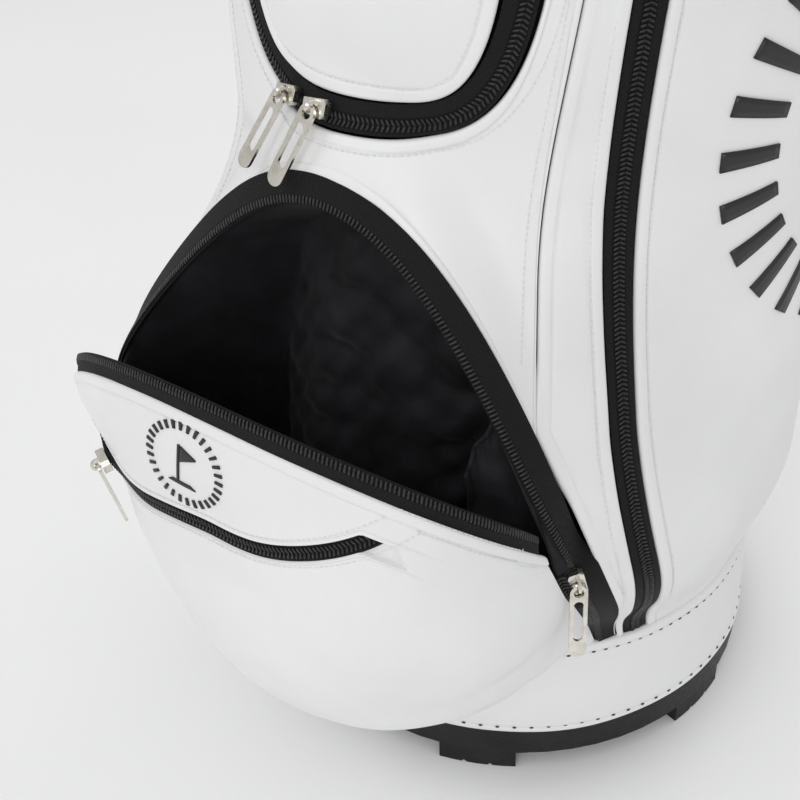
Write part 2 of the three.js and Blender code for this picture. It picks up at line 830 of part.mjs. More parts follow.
// A slider on a zip with its tab. zip gives centre, along and out; hang is where the tab points, and
// lean is the angle that it stands off the slider's own plane.
function addPull(name, zip, hang, lean = 0) {
  const { along, out } = zip;
  const base = zip.centre.clone().addScaledVector(out, sliderClearance);
  const across = new THREE.Vector3().crossVectors(along, out).normalize();
  const down = hang.clone().addScaledVector(out, -hang.dot(out)).normalize();
  const eye = eyeArch();
  eye.rotateX(Math.PI / 2);
  eye.rotateZ(Math.atan2(down.dot(along), down.dot(across)));
  eye.translate(0, 0, sliderHeight);
  const slider = add(`${name}_slider`, joined(sliderBody(), eye), nickel());
  place(slider, base, across, along, out);
  const tab = add(`${name}_tab`, tabPlate(), nickel());
  const pivot = base.clone().addScaledVector(out, sliderHeight + eyeLift);
  const hinge = new THREE.Vector3().crossVectors(out, down);
  const up = down.clone().negate().applyAxisAngle(hinge, -lean);
  place(tab, pivot, hinge, up, new THREE.Vector3().crossVectors(hinge, up));
}

const downwards = new THREE.Vector3(0, 0, -1);

function ballZipPlace(side) {
  const key = sideOf(side);
  const goal = sliderLevel[key] - sliderLength;
  const frame = pathFrame((t) => {
    const z = mix(goal - 6, goal + 6, t);
    return round(side * archAt(z, -3), surface(side * archAt(z), z), z);
  }, 0.5, 0.5);
  frame.centre.addScaledVector(frame.out, 1);
  return frame;
}

// The angle that a ball zip's tab stands off its slider, where the belly below is further out.
function bellyLean(side, zip) {
  const pivot = zip.centre.clone().addScaledVector(zip.out, sliderClearance + sliderHeight + eyeLift);
  const down = downwards.clone().addScaledVector(zip.out, -downwards.dot(zip.out)).normalize();
  const across = new THREE.Vector3().crossVectors(down, zip.out);
  let lean = 0;
  for (let row = 0; row <= 20; row++) {
    for (let column = 0; column <= 20; column++) {
      const share = 0.2 * (column / 20);
      const place = bellyPoint(side > 0 ? 1 - share : share, row / 20).sub(pivot);
      const reach = place.dot(down);
      const over = reach > 1 && reach < tabLength && Math.abs(place.dot(across)) < tabWidth;
      if (over) lean = Math.max(lean, Math.atan2(place.dot(zip.out) + tabThickness, reach));
    }
  }
  return lean;
}

// The tab hangs over the brow of the ball pocket, so its slider leans out with the skin below it.
function upperZipPlace(angle) {
  const z = upperPocketBottom + 1;
  const centre = round(angle, surface(angle, z) + 1, z);
  const below = round(angle, surface(angle, z - tabLength), z - tabLength);
  const along = round(angle + 90, 1, 0);
  return { centre, along, out: new THREE.Vector3().subVectors(below, centre).cross(along).normalize() };
}

function sideZipPlace(side) {
  const angle = side * zipAt(sideZipTop);
  const centre = round(angle, surface(angle, sideZipTop), sideZipTop);
  return { centre, along: downwards, out: outwards(angle) };
}

function buildPulls() {
  for (const side of [-1, 1]) {
    const ballZip = ballZipPlace(side);
    addPull(`ball_zip_${sideOf(side)}`, ballZip, downwards, bellyLean(side, ballZip));
    const angle = upperSliderAngles[sideOf(side)];
    const slant = new THREE.Vector3(0, 0, -1).addScaledVector(round(angle + 90, 1, 0), -0.35);
    addPull(`upper_zip_${sideOf(side)}`, upperZipPlace(angle), slant);
    addPull(`side_zip_${sideOf(side)}`, sideZipPlace(side), downwards);
  }
  addPull("slit_zip", slitFrame(0.07), downwards);
}

// ---------------------------------------------------------------- what the bag is carried by

const strapLine = bodyRadius + strapStand; // distance behind the bag's axis of the strap's pivots

function plateRing(outer, hole, thickness) {
  outer.holes.push(hole);
  const settings = { depth: thickness, bevelEnabled: false, curveSegments: 8 };
  const plate = new THREE.ExtrudeGeometry(outer, settings);
  plate.translate(0, 0, -thickness / 2);
  return plate;
}

// A D-shaped ring standing in the plane behind the bag, its straight bar upright at the pivot.
function strapRing(z) {
  const dShape = (shape, inset) => {
    const tall = ringHeight / 2 - inset;
    shape.moveTo(-ringBar / 2 + inset, -tall);
    shape.lineTo(ringReach / 2, -tall);
    shape.absellipse(ringReach / 2, 0, ringReach / 2 - inset, tall, -Math.PI / 2, Math.PI / 2, false);
    shape.lineTo(-ringBar / 2 + inset, tall);
    shape.closePath();
    return shape;
  };
  const ring = plateRing(dShape(new THREE.Shape(), 0), dShape(new THREE.Path(), ringBar), ringBar);
  const behind = new THREE.Vector3(0, 1, 0);
  const up = new THREE.Vector3(0, 0, 1);
  return laid(ring, new THREE.Vector3(0, strapLine, z), behind, up, new THREE.Vector3(1, 0, 0));
}

// The sewn tab whose tunnel holds the ring's upright bar.
function strapAnchor(z) {
  const tall = ringHeight * 0.6;
  const near = surface(180, z - tall / 2) + gap;
  const far = strapLine + anchorReach;
  const block = box(12, far - near, tall, [0, (near + far) / 2, z]);
  const tunnel = new THREE.CylinderGeometry(2.4, 2.4, ringHeight, 12);
  tunnel.rotateX(Math.PI / 2);
  tunnel.translate(0, strapLine, z);
  return cut(block, tunnel);
}

// A hook: a ring that passes through the D-shaped ring, with a bar frame for the webbing.
function strapHook(z) {
  const start = strapLine + ringReach - 7;
  const round2 = (shape, radius) => shape.absarc(0, 0, radius, 0, 2 * Math.PI, false);
  const ring = plateRing(round2(new THREE.Shape(), 9), round2(new THREE.Path(), 6), 3);
  ring.translate(0, start + 9, z);
  const neck = box(5, 6, 3, [0, start + 19.5, z]);
  const rectangle = (shape, x, y) => {
    shape.moveTo(-x, -y);
    shape.lineTo(x, -y);
    shape.lineTo(x, y);
    shape.lineTo(-x, y);
    shape.closePath();
    return shape;
  };
  const half = webWidth / 2;
  const border = rectangle(new THREE.Shape(), half + 4, 7);
  const frame = plateRing(border, rectangle(new THREE.Path(), half + 1, 4), 3);
  frame.translate(0, start + 28, z);
  return joined(ring, neck, frame);
}

const hookEnd = strapLine + ringReach - 7 + 28;

// The strap's line behind the bag, from the top hook out and down to the bottom one.
const strapCurve = new THREE.CubicBezierCurve3(
  new THREE.Vector3(0, hookEnd, strapTop - 4),
  new THREE.Vector3(0, hookEnd + strapBow * 0.6, strapTop - 110),
  new THREE.Vector3(0, hookEnd + strapBow * 0.6, strapBottom + 110),
  new THREE.Vector3(0, hookEnd, strapBottom + 4),
);

function strapPiece(from, to, width, thickness, steps) {
  return ribbon(
    (t) => {
      const place = mix(from, to, t);
      const along = strapCurve.getTangentAt(place);
      const sideways = new THREE.Vector3(1, 0, 0);
      const out = new THREE.Vector3().crossVectors(along, sideways);
      const centre = strapCurve.getPointAt(place).addScaledVector(out, thickness / 2);
      return { centre, sideways, out };
    },
    width,
    thickness,
    steps,
  );
}

function buildStrap() {
  for (const [end, z] of [["top", strapTop], ["bottom", strapBottom]]) {
    add(`strap_anchor_${end}`, strapAnchor(z), whiteLeather());
    add(`strap_ring_${end}`, strapRing(z), nickel());
    add(`strap_hook_${end}`, strapHook(z), nickel());
  }
  add("strap_web_top", strapPiece(0, 0.2, webWidth, webThickness, 6), blackTape());
  add("strap_pad", strapPiece(0.205, 0.72, strapPadWidth, strapPadThickness, 14), whiteLeather());
  add("strap_web_bottom", strapPiece(0.725, 1, webWidth, webThickness, 8), blackTape());
}

// A lifting handle: a round grip bowed out from the cuff.
function cuffHandle(middle) {
  const level = bodyTop + cuffHeight / 2;
  const start = bodyTopRadius + 2 + 2 * gap;
  const corners = [[-0.5, 0], [-0.5, 0.4], [-0.35, 0.9], [0, 1], [0.35, 0.9], [0.5, 0.4], [0.5, 0]];
  const points = corners.map(([share, reach]) => {
    return round(middle + share * handleAngle, start + reach * handleReach, level);
  });
  const section = new THREE.Shape();
  section.absarc(0, 0, handleRadius, 0, 2 * Math.PI, false);
  return new THREE.ExtrudeGeometry(section, {
    steps: 20,
    extrudePath: new THREE.CatmullRomCurve3(points),
    curveSegments: 4,
  });
}

function buildCarrying() {
  buildStrap();
  add("handle_front", cuffHandle(0), blackPlastic());
  add("handle_back", cuffHandle(180), blackPlastic());
  const out = outwards(towelAngle);
  const side = round(towelAngle + 90, 1, 0);
  const up = new THREE.Vector3(0, 0, 1);
  const stand = surface(towelAngle, towelLevel - 2 * towelRingRadius) + 6;
  const pivot = round(towelAngle, stand, towelLevel);
  const ring = new THREE.TorusGeometry(towelRingRadius, ringBar, 6, 28);
  ring.translate(0, -towelRingRadius, 0);
  place(add("towel_ring", ring, nickel()), pivot, side, up, out);
  const back = stand - surface(towelAngle, towelLevel) - 2 * gap;
  const block = box(10, 14, back + 7, [0, 0, (7 - back) / 2]);
  const tunnel = new THREE.CylinderGeometry(ringBar + 1.8, ringBar + 1.8, 20, 12);
  tunnel.rotateZ(Math.PI / 2);
  place(add("towel_ring_tab", cut(block, tunnel), whiteLeather()), pivot, side, up, out);
}

function buildZips() {
  add("side_zip_right", sideZip(1), blackTape());
  add("side_zip_left", sideZip(-1), blackTape());
  add("ball_zip_body_tape", archTape(), blackTape());
}

buildBase();
buildFrame();
buildTop();
buildSkin();
buildUpperPocket();
buildBallPocket();
buildZips();
buildPulls();
buildCarrying();

// The origin is at the middle of the whole bag's outline, on the floor.
const outline = new THREE.Box3().setFromObject(group, true);
const middle = outline.getCenter(new THREE.Vector3());
group.position.set(-middle.x, -middle.y, -outline.min.z);

export default group;
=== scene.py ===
"""Looks for a golf staff bag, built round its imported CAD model.

Shapes are worked out in millimetres in the bag's own frame: its axis is the Z axis, the ball pocket
faces -Y, +X is on the right as seen from the front, and angles are degrees from the front.
"""

import json
import math

import bmesh
import bpy
import numpy as np
from mathutils import Matrix, Vector

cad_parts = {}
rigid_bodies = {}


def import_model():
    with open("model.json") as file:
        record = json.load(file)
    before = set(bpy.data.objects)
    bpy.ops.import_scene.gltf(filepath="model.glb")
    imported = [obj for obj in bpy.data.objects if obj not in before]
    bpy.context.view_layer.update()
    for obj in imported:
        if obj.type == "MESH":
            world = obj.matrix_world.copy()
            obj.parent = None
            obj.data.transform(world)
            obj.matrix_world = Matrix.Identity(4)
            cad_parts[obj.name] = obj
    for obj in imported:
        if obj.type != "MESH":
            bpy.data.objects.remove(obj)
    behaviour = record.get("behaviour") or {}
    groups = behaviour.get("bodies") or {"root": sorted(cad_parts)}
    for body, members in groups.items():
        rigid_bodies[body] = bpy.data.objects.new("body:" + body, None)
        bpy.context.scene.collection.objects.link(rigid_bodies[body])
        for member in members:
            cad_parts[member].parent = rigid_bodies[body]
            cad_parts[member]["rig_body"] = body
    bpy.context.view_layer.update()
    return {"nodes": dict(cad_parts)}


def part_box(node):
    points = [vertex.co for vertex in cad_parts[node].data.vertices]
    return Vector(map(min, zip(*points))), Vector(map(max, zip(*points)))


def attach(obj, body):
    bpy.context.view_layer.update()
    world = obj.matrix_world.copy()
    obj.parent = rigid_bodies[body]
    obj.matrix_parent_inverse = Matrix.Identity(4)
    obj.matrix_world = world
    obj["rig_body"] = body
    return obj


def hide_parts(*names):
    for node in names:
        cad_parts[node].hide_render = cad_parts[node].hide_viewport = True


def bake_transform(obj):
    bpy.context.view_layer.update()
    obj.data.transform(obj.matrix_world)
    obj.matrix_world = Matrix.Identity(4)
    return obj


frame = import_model()

# ---- sizes, as in the CAD model

GAP = 0.4
SKIN = 3.0
TOP = 905.0
BASE_R, BAND_R, BODY_R, BODY_TOP_R, BARREL_R = 150.0, 145.0, 152.0, 146.0, 133.0
TRAY_TOP, BAND_TOP, BODY_TOP = 32.0, 96.0, 857.0
SIDE_BULGE, BACK_SEAM = 18.0, 146.0
ARCH_H, ARCH_ANGLE, ARCH_FLARE, ARCH_R = 283.0, 43.0, 12.0, 180.0
ARCH_TOP = BAND_TOP + ARCH_H
SPREAD = {-1: 80.0, 1: 46.0}
SLIDER_LEVEL = {-1: 192.0, 1: 212.0}
SPREAD_LEVEL, HOOD = 200.0, 16.0
FLAP_FRONT, FLAP_LEAN, FLAP_HINGE, FLAP_RIM = 256.0, 8.0, 205.0, 292.0
BELLY_DROOP, LEFT_NARROWING = 60.0, 0.26
SLIT_ENDS = (-108.0, 92.0)
UPPER_TURN, UPPER_BOTTOM, UPPER_TOP, UPPER_ANGLE, UPPER_STAND = 4.0, 415.0, 700.0, 29.0, 9.0
ZIP_ANGLE, CHAIN = 50.0, 15.0
TAPE = 13.0
UP = np.array([0.0, 0.0, 1.0])
SIDES = ((1, "right"), (-1, "left"))

base_low, base_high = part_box("base_tray")
AXIS = np.array([(base_low.x + base_high.x) / 2, (base_low.y + base_high.y) / 2, 0.0])


def world(points):
    """Millimetres in the bag's frame to metres in the CAD frame."""
    return np.asarray(points, float) * 0.001 + AXIS


# ---- small helpers


def smooth(a, b, x):
    t = np.clip((x - a) / (b - a), 0, 1)
    return t * t * (3 - 2 * t)


def bell(t):
    return np.sin(np.pi * np.clip(t, 0, 1)) ** 2


def mix(a, b, t):
    return a + (b - a) * t


def polar(angle, radius, z):
    a = np.radians(angle)
    x, y, z = np.broadcast_arrays(radius * np.sin(a), -radius * np.cos(a), z)
    return np.stack([x, y, z], -1)


def unit(v):
    return v / np.maximum(np.linalg.norm(v, axis=-1, keepdims=True), 1e-9)


def around(count):
    """Even turns of a full circle, in radians."""
    return np.linspace(0, 2 * math.pi, count + 1)[:-1]


def lengths(points):
    """How far along a line each of its points is."""
    return np.concatenate([[0], np.cumsum(np.linalg.norm(np.diff(points, axis=0), axis=1))])


def directions(angle):
    """Sideways and outward directions at an angle round the bag's axis."""
    return polar(angle + 90, 1.0, 0.0), polar(angle, 1.0, 0.0)


def add(name, data):
    """A new object in the scene."""
    obj = bpy.data.objects.new(name, data)
    bpy.context.scene.collection.objects.link(obj)
    return obj


def waves(p, length, seed):
    """Gentle unevenness between -1 and 1 that varies over about that length in millimetres."""
    rng = np.random.default_rng(seed)
    out = np.zeros(p.shape[:-1])
    for _ in range(6):
        k = rng.normal(size=3)
        k *= 2 * math.pi / (length * rng.uniform(0.7, 1.6)) / np.linalg.norm(k)
        out += np.sin(p @ k + rng.uniform(0, 6.28))
    return out / 3.5


# ---- the body's surface


def degrees(distance, radius):
    """The turn that a distance makes at a radius."""
    return np.degrees(distance / radius)


def arch_at(z, grow=0.0):
    t = np.clip((z - BAND_TOP) / (ARCH_H + grow), 0, 1)
    return (ARCH_ANGLE + degrees(grow, ARCH_R)) * np.sqrt(1 - t * t) + ARCH_FLARE * (1 - t) ** 3


def arch_level(angle, grow=0.0):
    share = np.minimum(1, np.abs(angle) / (ARCH_ANGLE + degrees(grow, ARCH_R)))
    return BAND_TOP + (ARCH_H + grow) * np.sqrt(1 - share * share)


def zip_at(z):
    return ZIP_ANGLE + 12.5 * (np.maximum(0, 272 - z) / 177) ** 1.6 + 6 * smooth(368, 600, z)


def seam_at(z):
    return 36 + 9 * smooth(340, 560, z)


def surface(angle, z):
    angle, z = np.broadcast_arrays(np.asarray(angle, float), np.asarray(z, float))
    turn = np.abs(angle)
    waist = mix(BAND_R + 1, BODY_R, smooth(BAND_TOP, 150, z))
    body = mix(waist, BODY_TOP_R, smooth(600, BODY_TOP, z))
    rise = np.where(z > SPREAD_LEVEL, (z - SPREAD_LEVEL) / 215, (SPREAD_LEVEL - z) / 108)
    spread = np.cos(np.pi / 2 * np.clip(rise, 0, 1)) ** 2
    fall = 1 - smooth(0, 44, turn - arch_at(z))
    above = np.maximum(0, z - arch_level(angle))
    brow = HOOD * smooth(BAND_TOP, SPREAD_LEVEL, z) * (1 - smooth(0, 60, above))
    brow *= 1 - smooth(20, 60, turn)
    upper = UPPER_STAND * bell((angle - UPPER_TURN + 50) / 100) * bell((z - 360) / 420)
    side = SIDE_BULGE * bell((turn - 44) / 96) * smooth(BAND_TOP, 190, z)
    side *= 1 - smooth(600, 830, z)
    out = mix(SPREAD[-1], SPREAD[1], smooth(-16, 16, angle))
    return body + out * spread * fall + brow + upper + side


def skin_normal(angle, z):
    e, f = 0.4, 1.0
    across = polar(angle + e, surface(angle + e, z), z) - polar(angle - e, surface(angle - e, z), z)
    up = polar(angle, surface(angle, z + f), z + f) - polar(angle, surface(angle, z - f), z - f)
    return unit(np.cross(across, up))


def on_skin(angle, z, lift=0.0):
    lift = np.asarray(lift, float)
    return polar(angle, surface(angle, z), z) + skin_normal(angle, z) * lift[..., None]


# ---- materials


class Shader:
    """A material's nodes, with short names for what the materials here need."""

    def __init__(self, name, colour, roughness, **settings):
        self.material = bpy.data.materials.new(name)
        self.material.use_nodes = True
        self.tree = self.material.node_tree
        self.surface = self.tree.nodes["Principled BSDF"]
        self.set("Base Color", (*colour, 1))
        self.set("Roughness", roughness)
        for key, value in settings.items():
            self.set(key.replace("_", " "), value)
        self.place = self.node("TexCoord").outputs["Object"]

    def set(self, socket, value):
        self.surface.inputs[socket].default_value = value

    def node(self, kind, **values):
        made = self.tree.nodes.new("ShaderNode" + kind)
        for key, value in values.items():
            if key in made.inputs:
                made.inputs[key].default_value = value
            else:
                setattr(made, key, value)
        return made

    def join(self, a, b):
        self.tree.links.new(a, b)

    def placed(self, kind, output, place, **values):
        made = self.node(kind, **values)
        self.join(place or self.place, made.inputs["Vector"])
        return made.outputs[output]

    def noise(self, scale, detail=2.0, place=None):
        return self.placed("TexNoise", "Fac", place, Scale=scale, Detail=detail)

    def cells(self, scale):
        return self.placed("TexVoronoi", "Distance", None, Scale=scale)

    def stretched(self, x, y, z, place=None, turn=0.0):
        return self.placed("Mapping", "Vector", place, Scale=(x, y, z), Rotation=(0, 0, turn))

    def wave(self, place, scale, distortion, direction="X"):
        settings = {"Scale": scale, "Distortion": distortion, "bands_direction": direction}
        return self.placed("TexWave", "Fac", place, **settings)

    def math(self, operation, a, b):
        made = self.node("Math", operation=operation)
        for socket, value in zip(made.inputs, (a, b)):
            if isinstance(value, (int, float)):
                socket.default_value = value
            else:
                self.join(value, socket)
        return made.outputs[0]

    def ramp(self, factor, low, high, at=(0.35, 0.65)):
        made = self.node("ValToRGB")
        stops = made.color_ramp.elements
        for stop, place, colour in zip(stops, at, (low, high)):
            stop.position = place
            stop.color = (*(colour if isinstance(colour, tuple) else (colour,) * 3), 1)
        self.join(factor, made.inputs["Fac"])
        return made.outputs["Color"]

    def bump(self, height, distance, strength=1.0, under=None):
        made = self.node("Bump", Distance=distance, Strength=strength)
        self.join(height, made.inputs["Height"])
        if under is not None:
            self.join(under, made.inputs["Normal"])
        return made.outputs["Normal"]

    def finish(self, colour=None, roughness=None, normal=None):
        sources = {"Base Color": colour, "Roughness": roughness, "Normal": normal}
        for socket, source in sources.items():
            if source is not None:
                self.join(source, self.surface.inputs[socket])
        return self.material


def leather(name, low, high, roughness=(0.36, 0.5)):
    s = Shader(name, high, 0.45, Coat_Weight=0.08, Coat_Roughness=0.35)
    tone = s.ramp(s.noise(9, 3), low, high)
    rough = s.ramp(s.noise(60, 3), roughness[0], roughness[1])
    grain = s.bump(s.cells(1150), 0.00012, 0.35)
    fine = s.bump(s.noise(2600, 2), 0.00008, 0.3, grain)
    soft = s.bump(s.noise(38, 2), 0.0012, 0.22, fine)
    return s.finish(tone, rough, soft)


def thread(name, colour):
    s = Shader(name, colour, 0.6)
    twist = s.wave(s.place, 900, 0.5)
    tone = s.ramp(s.noise(300), tuple(0.9 * c for c in colour), colour)
    return s.finish(tone, None, s.bump(twist, 0.0001, 0.5))


def woven(name, low, high, rib=0.0011):
    """Woven tape: slanting ribs from the strip's own flat coordinates, in metres."""
    s = Shader(name, high, 0.8, Sheen_Weight=0.02, Sheen_Roughness=0.5, Specular_IOR_Level=0.25)
    flat = s.node("TexCoord").outputs["UV"]
    slant = s.wave(s.stretched(1, 1, 1, flat, 0.9), 1 / rib / 3.14, 0.3)
    counter = s.wave(s.stretched(1, 1, 1, flat, -0.9), 1 / rib / 3.14, 0.3)
    weave = s.math("MULTIPLY", slant, counter)
    fuzz = s.noise(1400, 3)
    worn = s.math("ADD", s.math("MULTIPLY", weave, 0.6), s.math("MULTIPLY", fuzz, 0.5))
    tone = s.ramp(worn, low, high, (0.2, 0.75))
    rough = s.ramp(fuzz, 0.7, 0.92)
    return s.finish(tone, rough, s.bump(fuzz, 0.0001, 0.4, s.bump(weave, 0.0003, 0.6)))


def cloth(name, low, high, pitch=0.0007):
    """Thin woven lining: crossed threads over soft creases."""
    s = Shader(name, high, 0.75, Sheen_Weight=0.05, Sheen_Roughness=0.4, Specular_IOR_Level=0.3)
    warp = s.wave(s.stretched(1, 1, 0.2), 1 / pitch / 3.14, 0.6, "X")
    weft = s.wave(s.stretched(0.2, 0.2, 1), 1 / pitch / 3.14, 0.6, "Z")
    weave = s.math("ADD", s.math("MULTIPLY", warp, 0.5), s.math("MULTIPLY", weft, 0.5))
    tone = s.ramp(s.noise(45, 3), low, high)
    creases = s.bump(s.noise(70, 3), 0.002, 0.35)
    return s.finish(tone, s.ramp(weave, 0.62, 0.85), s.bump(weave, 0.00015, 0.5, creases))


def moulded(name, low, high, roughness=(0.42, 0.62)):
    s = Shader(name, high, 0.5, Specular_IOR_Level=0.28)
    fine = s.noise(1800, 2)
    tone = s.ramp(s.noise(30, 4), low, high)
    scuffs = s.noise(260, 4, s.stretched(1, 1, 6))
    rough = s.ramp(scuffs, roughness[0], roughness[1])
    return s.finish(tone, rough, s.bump(fine, 0.00012, 0.4))


def nylon(name, low, high):
    s = Shader(name, high, 0.38, Specular_IOR_Level=0.4)
    tone = s.ramp(s.noise(700, 2), low, high)
    return s.finish(tone, s.ramp(s.noise(900), 0.3, 0.48), s.bump(s.noise(2500), 0.00006, 0.4))


def plated(name, low, high, roughness=(0.16, 0.3)):
    s = Shader(name, high, 0.24, Metallic=1.0)
    tone = s.ramp(s.noise(120, 3), low, high)
    brushed = s.noise(900, 3, s.stretched(1, 1, 0.08))
    rough = s.ramp(brushed, roughness[0], roughness[1])
    return s.finish(tone, rough, s.bump(s.noise(260, 2), 0.00012, 0.25))


WHITE = leather("white_leather", (0.79, 0.79, 0.793), (0.85, 0.85, 0.853))
TAPE_BLACK = woven("zip_tape", (0.003, 0.003, 0.003), (0.014, 0.014, 0.0145))
WEBBING = woven("strap_webbing", (0.004, 0.004, 0.004), (0.02, 0.02, 0.021), 0.0022)
COIL = nylon("zip_coil", (0.008, 0.008, 0.008), (0.03, 0.03, 0.03))
LINING = cloth("pocket_lining", (0.006, 0.006, 0.0075), (0.016, 0.016, 0.02))
PLASTIC = moulded("moulded_plastic", (0.007, 0.007, 0.0075), (0.015, 0.015, 0.0155))
GRIP = moulded("handle_rubber", (0.016, 0.016, 0.017), (0.03, 0.03, 0.031), (0.55, 0.75))
BOARD = moulded("barrel_sheet", (0.035, 0.035, 0.037), (0.06, 0.06, 0.062))
NICKEL = plated("pale_nickel", (0.62, 0.59, 0.52), (0.80, 0.775, 0.71))
ALUMINIUM = plated("rod_aluminium", (0.55, 0.56, 0.57), (0.72, 0.73, 0.74), (0.3, 0.45))
THREAD = thread("white_thread", (0.84, 0.84, 0.84))
# Painted shade: a near-black thread colour that stands in for the shade inside the band's needle holes.
HOLE_SHADE = thread("painted_hole_shade", (0.05, 0.05, 0.052))
INK = leather("black_print", (0.006, 0.006, 0.007), (0.018, 0.018, 0.019), (0.34, 0.46))


# ---- mesh building


def piece(name, points, faces, material, body="shell", replaces=(), uv=None, closed=True):
    """A mesh from points in millimetres. Faces of a closed form are turned to face out."""
    mesh = bpy.data.meshes.new(name)
    mesh.from_pydata(world(points).tolist(), [], [list(map(int, f)) for f in faces])
    if uv is not None:
        layer = mesh.uv_layers.new(name="flat")
        flat = np.asarray(uv, float)[[v for f in faces for v in f]]
        layer.data.foreach_set("uv", flat.ravel())
    obj = add(name, mesh)
    if closed:
        form = bmesh.new()
        form.from_mesh(mesh)
        bmesh.ops.recalc_face_normals(form, faces=form.faces)
        form.to_mesh(mesh)
        form.free()
    mesh.shade_smooth()
    mesh.materials.append(material)
    if replaces:
        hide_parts(*replaces)
    if body:
        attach(obj, body)
    return obj


def grid_faces(rows, columns, start=0, wrap=False):
    """Quads of a grid of points that are numbered row by row."""
    c = np.arange(columns if wrap else columns - 1)
    r = np.arange(rows - 1)[:, None]
    d = (c + 1) % columns
    low, high = r * columns, (r + 1) * columns
    return np.stack([low + c, low + d, high + d, high + c], -1).reshape(-1, 4) + start


def tube_faces(rings, count, loop=False):
    """Faces of a tube of rings: joined end to end, or with a cap at each end."""
    faces = grid_faces(rings, count, wrap=True).tolist()
    last = (rings - 1) * count
    if loop:
        return faces + [[last + a, last + (a + 1) % count, (a + 1) % count, a] for a in range(count)]
    return faces + [list(range(count))[::-1], list(range(last, last + count))]


def shell(outer, inner):
    """Points and faces of a closed sheet from its outer and inner grids of points."""
    rows, columns = outer.shape[:2]
    n = rows * columns
    faces = [grid_faces(rows, columns), grid_faces(rows, columns, n)[:, ::-1]]
    ids = np.arange(n).reshape(rows, columns)
    rim = np.concatenate([ids[0, :], ids[1:, -1], ids[-1, -2::-1], ids[-2:0:-1, 0]])
    after = np.roll(rim, -1)
    faces.append(np.stack([rim, rim + n, after + n, after], -1))
    return np.concatenate([outer.reshape(-1, 3), inner.reshape(-1, 3)]), np.concatenate(faces)


def frames(points):
    """Unit tangents of a line of points."""
    return unit(np.gradient(points, axis=0))


def strip(points, across, out, profile, loop=False):
    """Sweeps a closed profile of (across, out) pairs along a line.

    Returns the points, the faces and the flat coordinates in metres."""
    profile = np.asarray(profile, float)
    n, m = len(points), len(profile)
    p = points[:, None] + across[:, None] * profile[None, :, :1] + out[:, None] * profile[None, :, 1:]
    flat = np.broadcast_arrays(profile[None, :, 0], lengths(points)[:, None])
    uv = np.stack(flat, -1) * 0.001
    return p.reshape(-1, 3), tube_faces(n, m, loop), uv.reshape(-1, 2)


def merged(parts):
    """Several pairs of points and faces as one."""
    points, faces, start = [], [], 0
    for part in parts:
        points.append(part[0])
        faces += [[v + start for v in face] for face in part[1]]
        start += len(part[0])
    return np.concatenate(points), faces


def evenly(points, pitch):
    """The places in a line of points that an even pitch falls at."""
    length = lengths(points)
    count = max(2, int(length[-1] / pitch))
    goal = (np.arange(count) + 0.5) * length[-1] / count
    return np.interp(goal, length, np.arange(len(points)))


def at(values, place):
    """Rows of values between which a fractional place falls."""
    low = np.clip(np.floor(place).astype(int), 0, len(values) - 2)
    t = (place - low)[:, None]
    return values[low] * (1 - t) + values[low + 1] * t


ROUND = [(math.cos(a), math.sin(a)) for a in around(6)]


def rods(centre, axis, side, out, length, width, height, belly=0.0):
    """Many small rods with rounded ends: each has its own centre and its length along axis."""
    ends = [(-0.5, 0.35), (-0.38, 0.85), (0.0, 1.0), (0.38, 0.85), (0.5, 0.35)]
    rings = []
    for place, size in ends:
        for c, s in ROUND:
            lift = s * height / 2 * size + belly * (1 - (2 * place) ** 2)
            rings.append(centre + axis * (place * length) + side * (c * width / 2 * size) + out * lift)
    n, m = len(ends), len(ROUND)
    points = np.stack(rings, 1)
    faces = tube_faces(n, m)
    every = [[v + i * n * m for v in f] for i in range(len(centre)) for f in faces]
    return points.reshape(-1, 3), every


def stitches(points, out, pitch, length, radius, lift=0.1):
    """Thread lying along a line in short stitches."""
    place = evenly(points, pitch)
    along = at(frames(points), place)
    up = unit(at(out, place))
    centre, side = at(points, place) + up * lift, np.cross(up, along)
    return rods(centre, along, side, up, length, 2 * radius, 1.6 * radius, 0.12)


def coil(points, across, out, pitch, length, offset, slant, lift, size=1.35):
    """One row of a zip's coil: ridges that lie across the line, or aslant."""
    place = evenly(points, pitch)
    along = unit(at(frames(points), place))
    side = unit(at(across, place))
    up = unit(at(out, place))
    axis = unit(side + along * slant)
    centre = at(points, place) + side * offset + up * lift
    return rods(centre, axis, np.cross(up, axis), up, length, size, size * 0.85, 0.15)


# ---- leather panels

EDGE = np.array([0, 0.12, 0.4, 0.9, 1.7, 3.0, 4.8, 5.6, 6.1, 6.6, 7.2, 8.6, 12.0])
ROLL, BACKING = 2.0, 2.9


def edge_lift(d, raised=0.5, crease=0.55):
    """How far a turned and topstitched edge stands out, at a distance from it."""
    roll = -2.3 * (1 - np.sqrt(np.maximum(0, 1 - (1 - np.minimum(d, ROLL) / ROLL) ** 2)))
    return roll + raised * (1 - smooth(5.2, 6.4, d)) - crease * np.exp(-(((d - 6.6) / 0.55) ** 2))


def spaced(width, middle):
    """Distances across a panel from one edge to the other, close together at the edges."""
    width = np.asarray(width, float)[..., None]
    scale = np.minimum(1, width / (2.6 * EDGE[-1]))
    near = EDGE * scale
    share = np.linspace(0, 1, middle + 2)[1:-1]
    centre = near[..., -1:] + (width - 2 * near[..., -1:]) * share
    return np.concatenate([near, centre, width - near[..., ::-1]], -1)


def unevenness(p, amount=0.45):
    """How far the leather stands off its plain form, in slight swells."""
    return amount * (0.6 * waves(p, 120, 3) + 0.4 * waves(p, 45, 4))


def sheet_on_skin(name, angle, z, lift, replaces):
    outer = on_skin(angle, z, lift + unevenness(on_skin(angle, z)))
    inner = on_skin(angle, z, np.full(angle.shape, -BACKING))
    piece(name, *shell(outer, inner), WHITE, "shell", replaces)


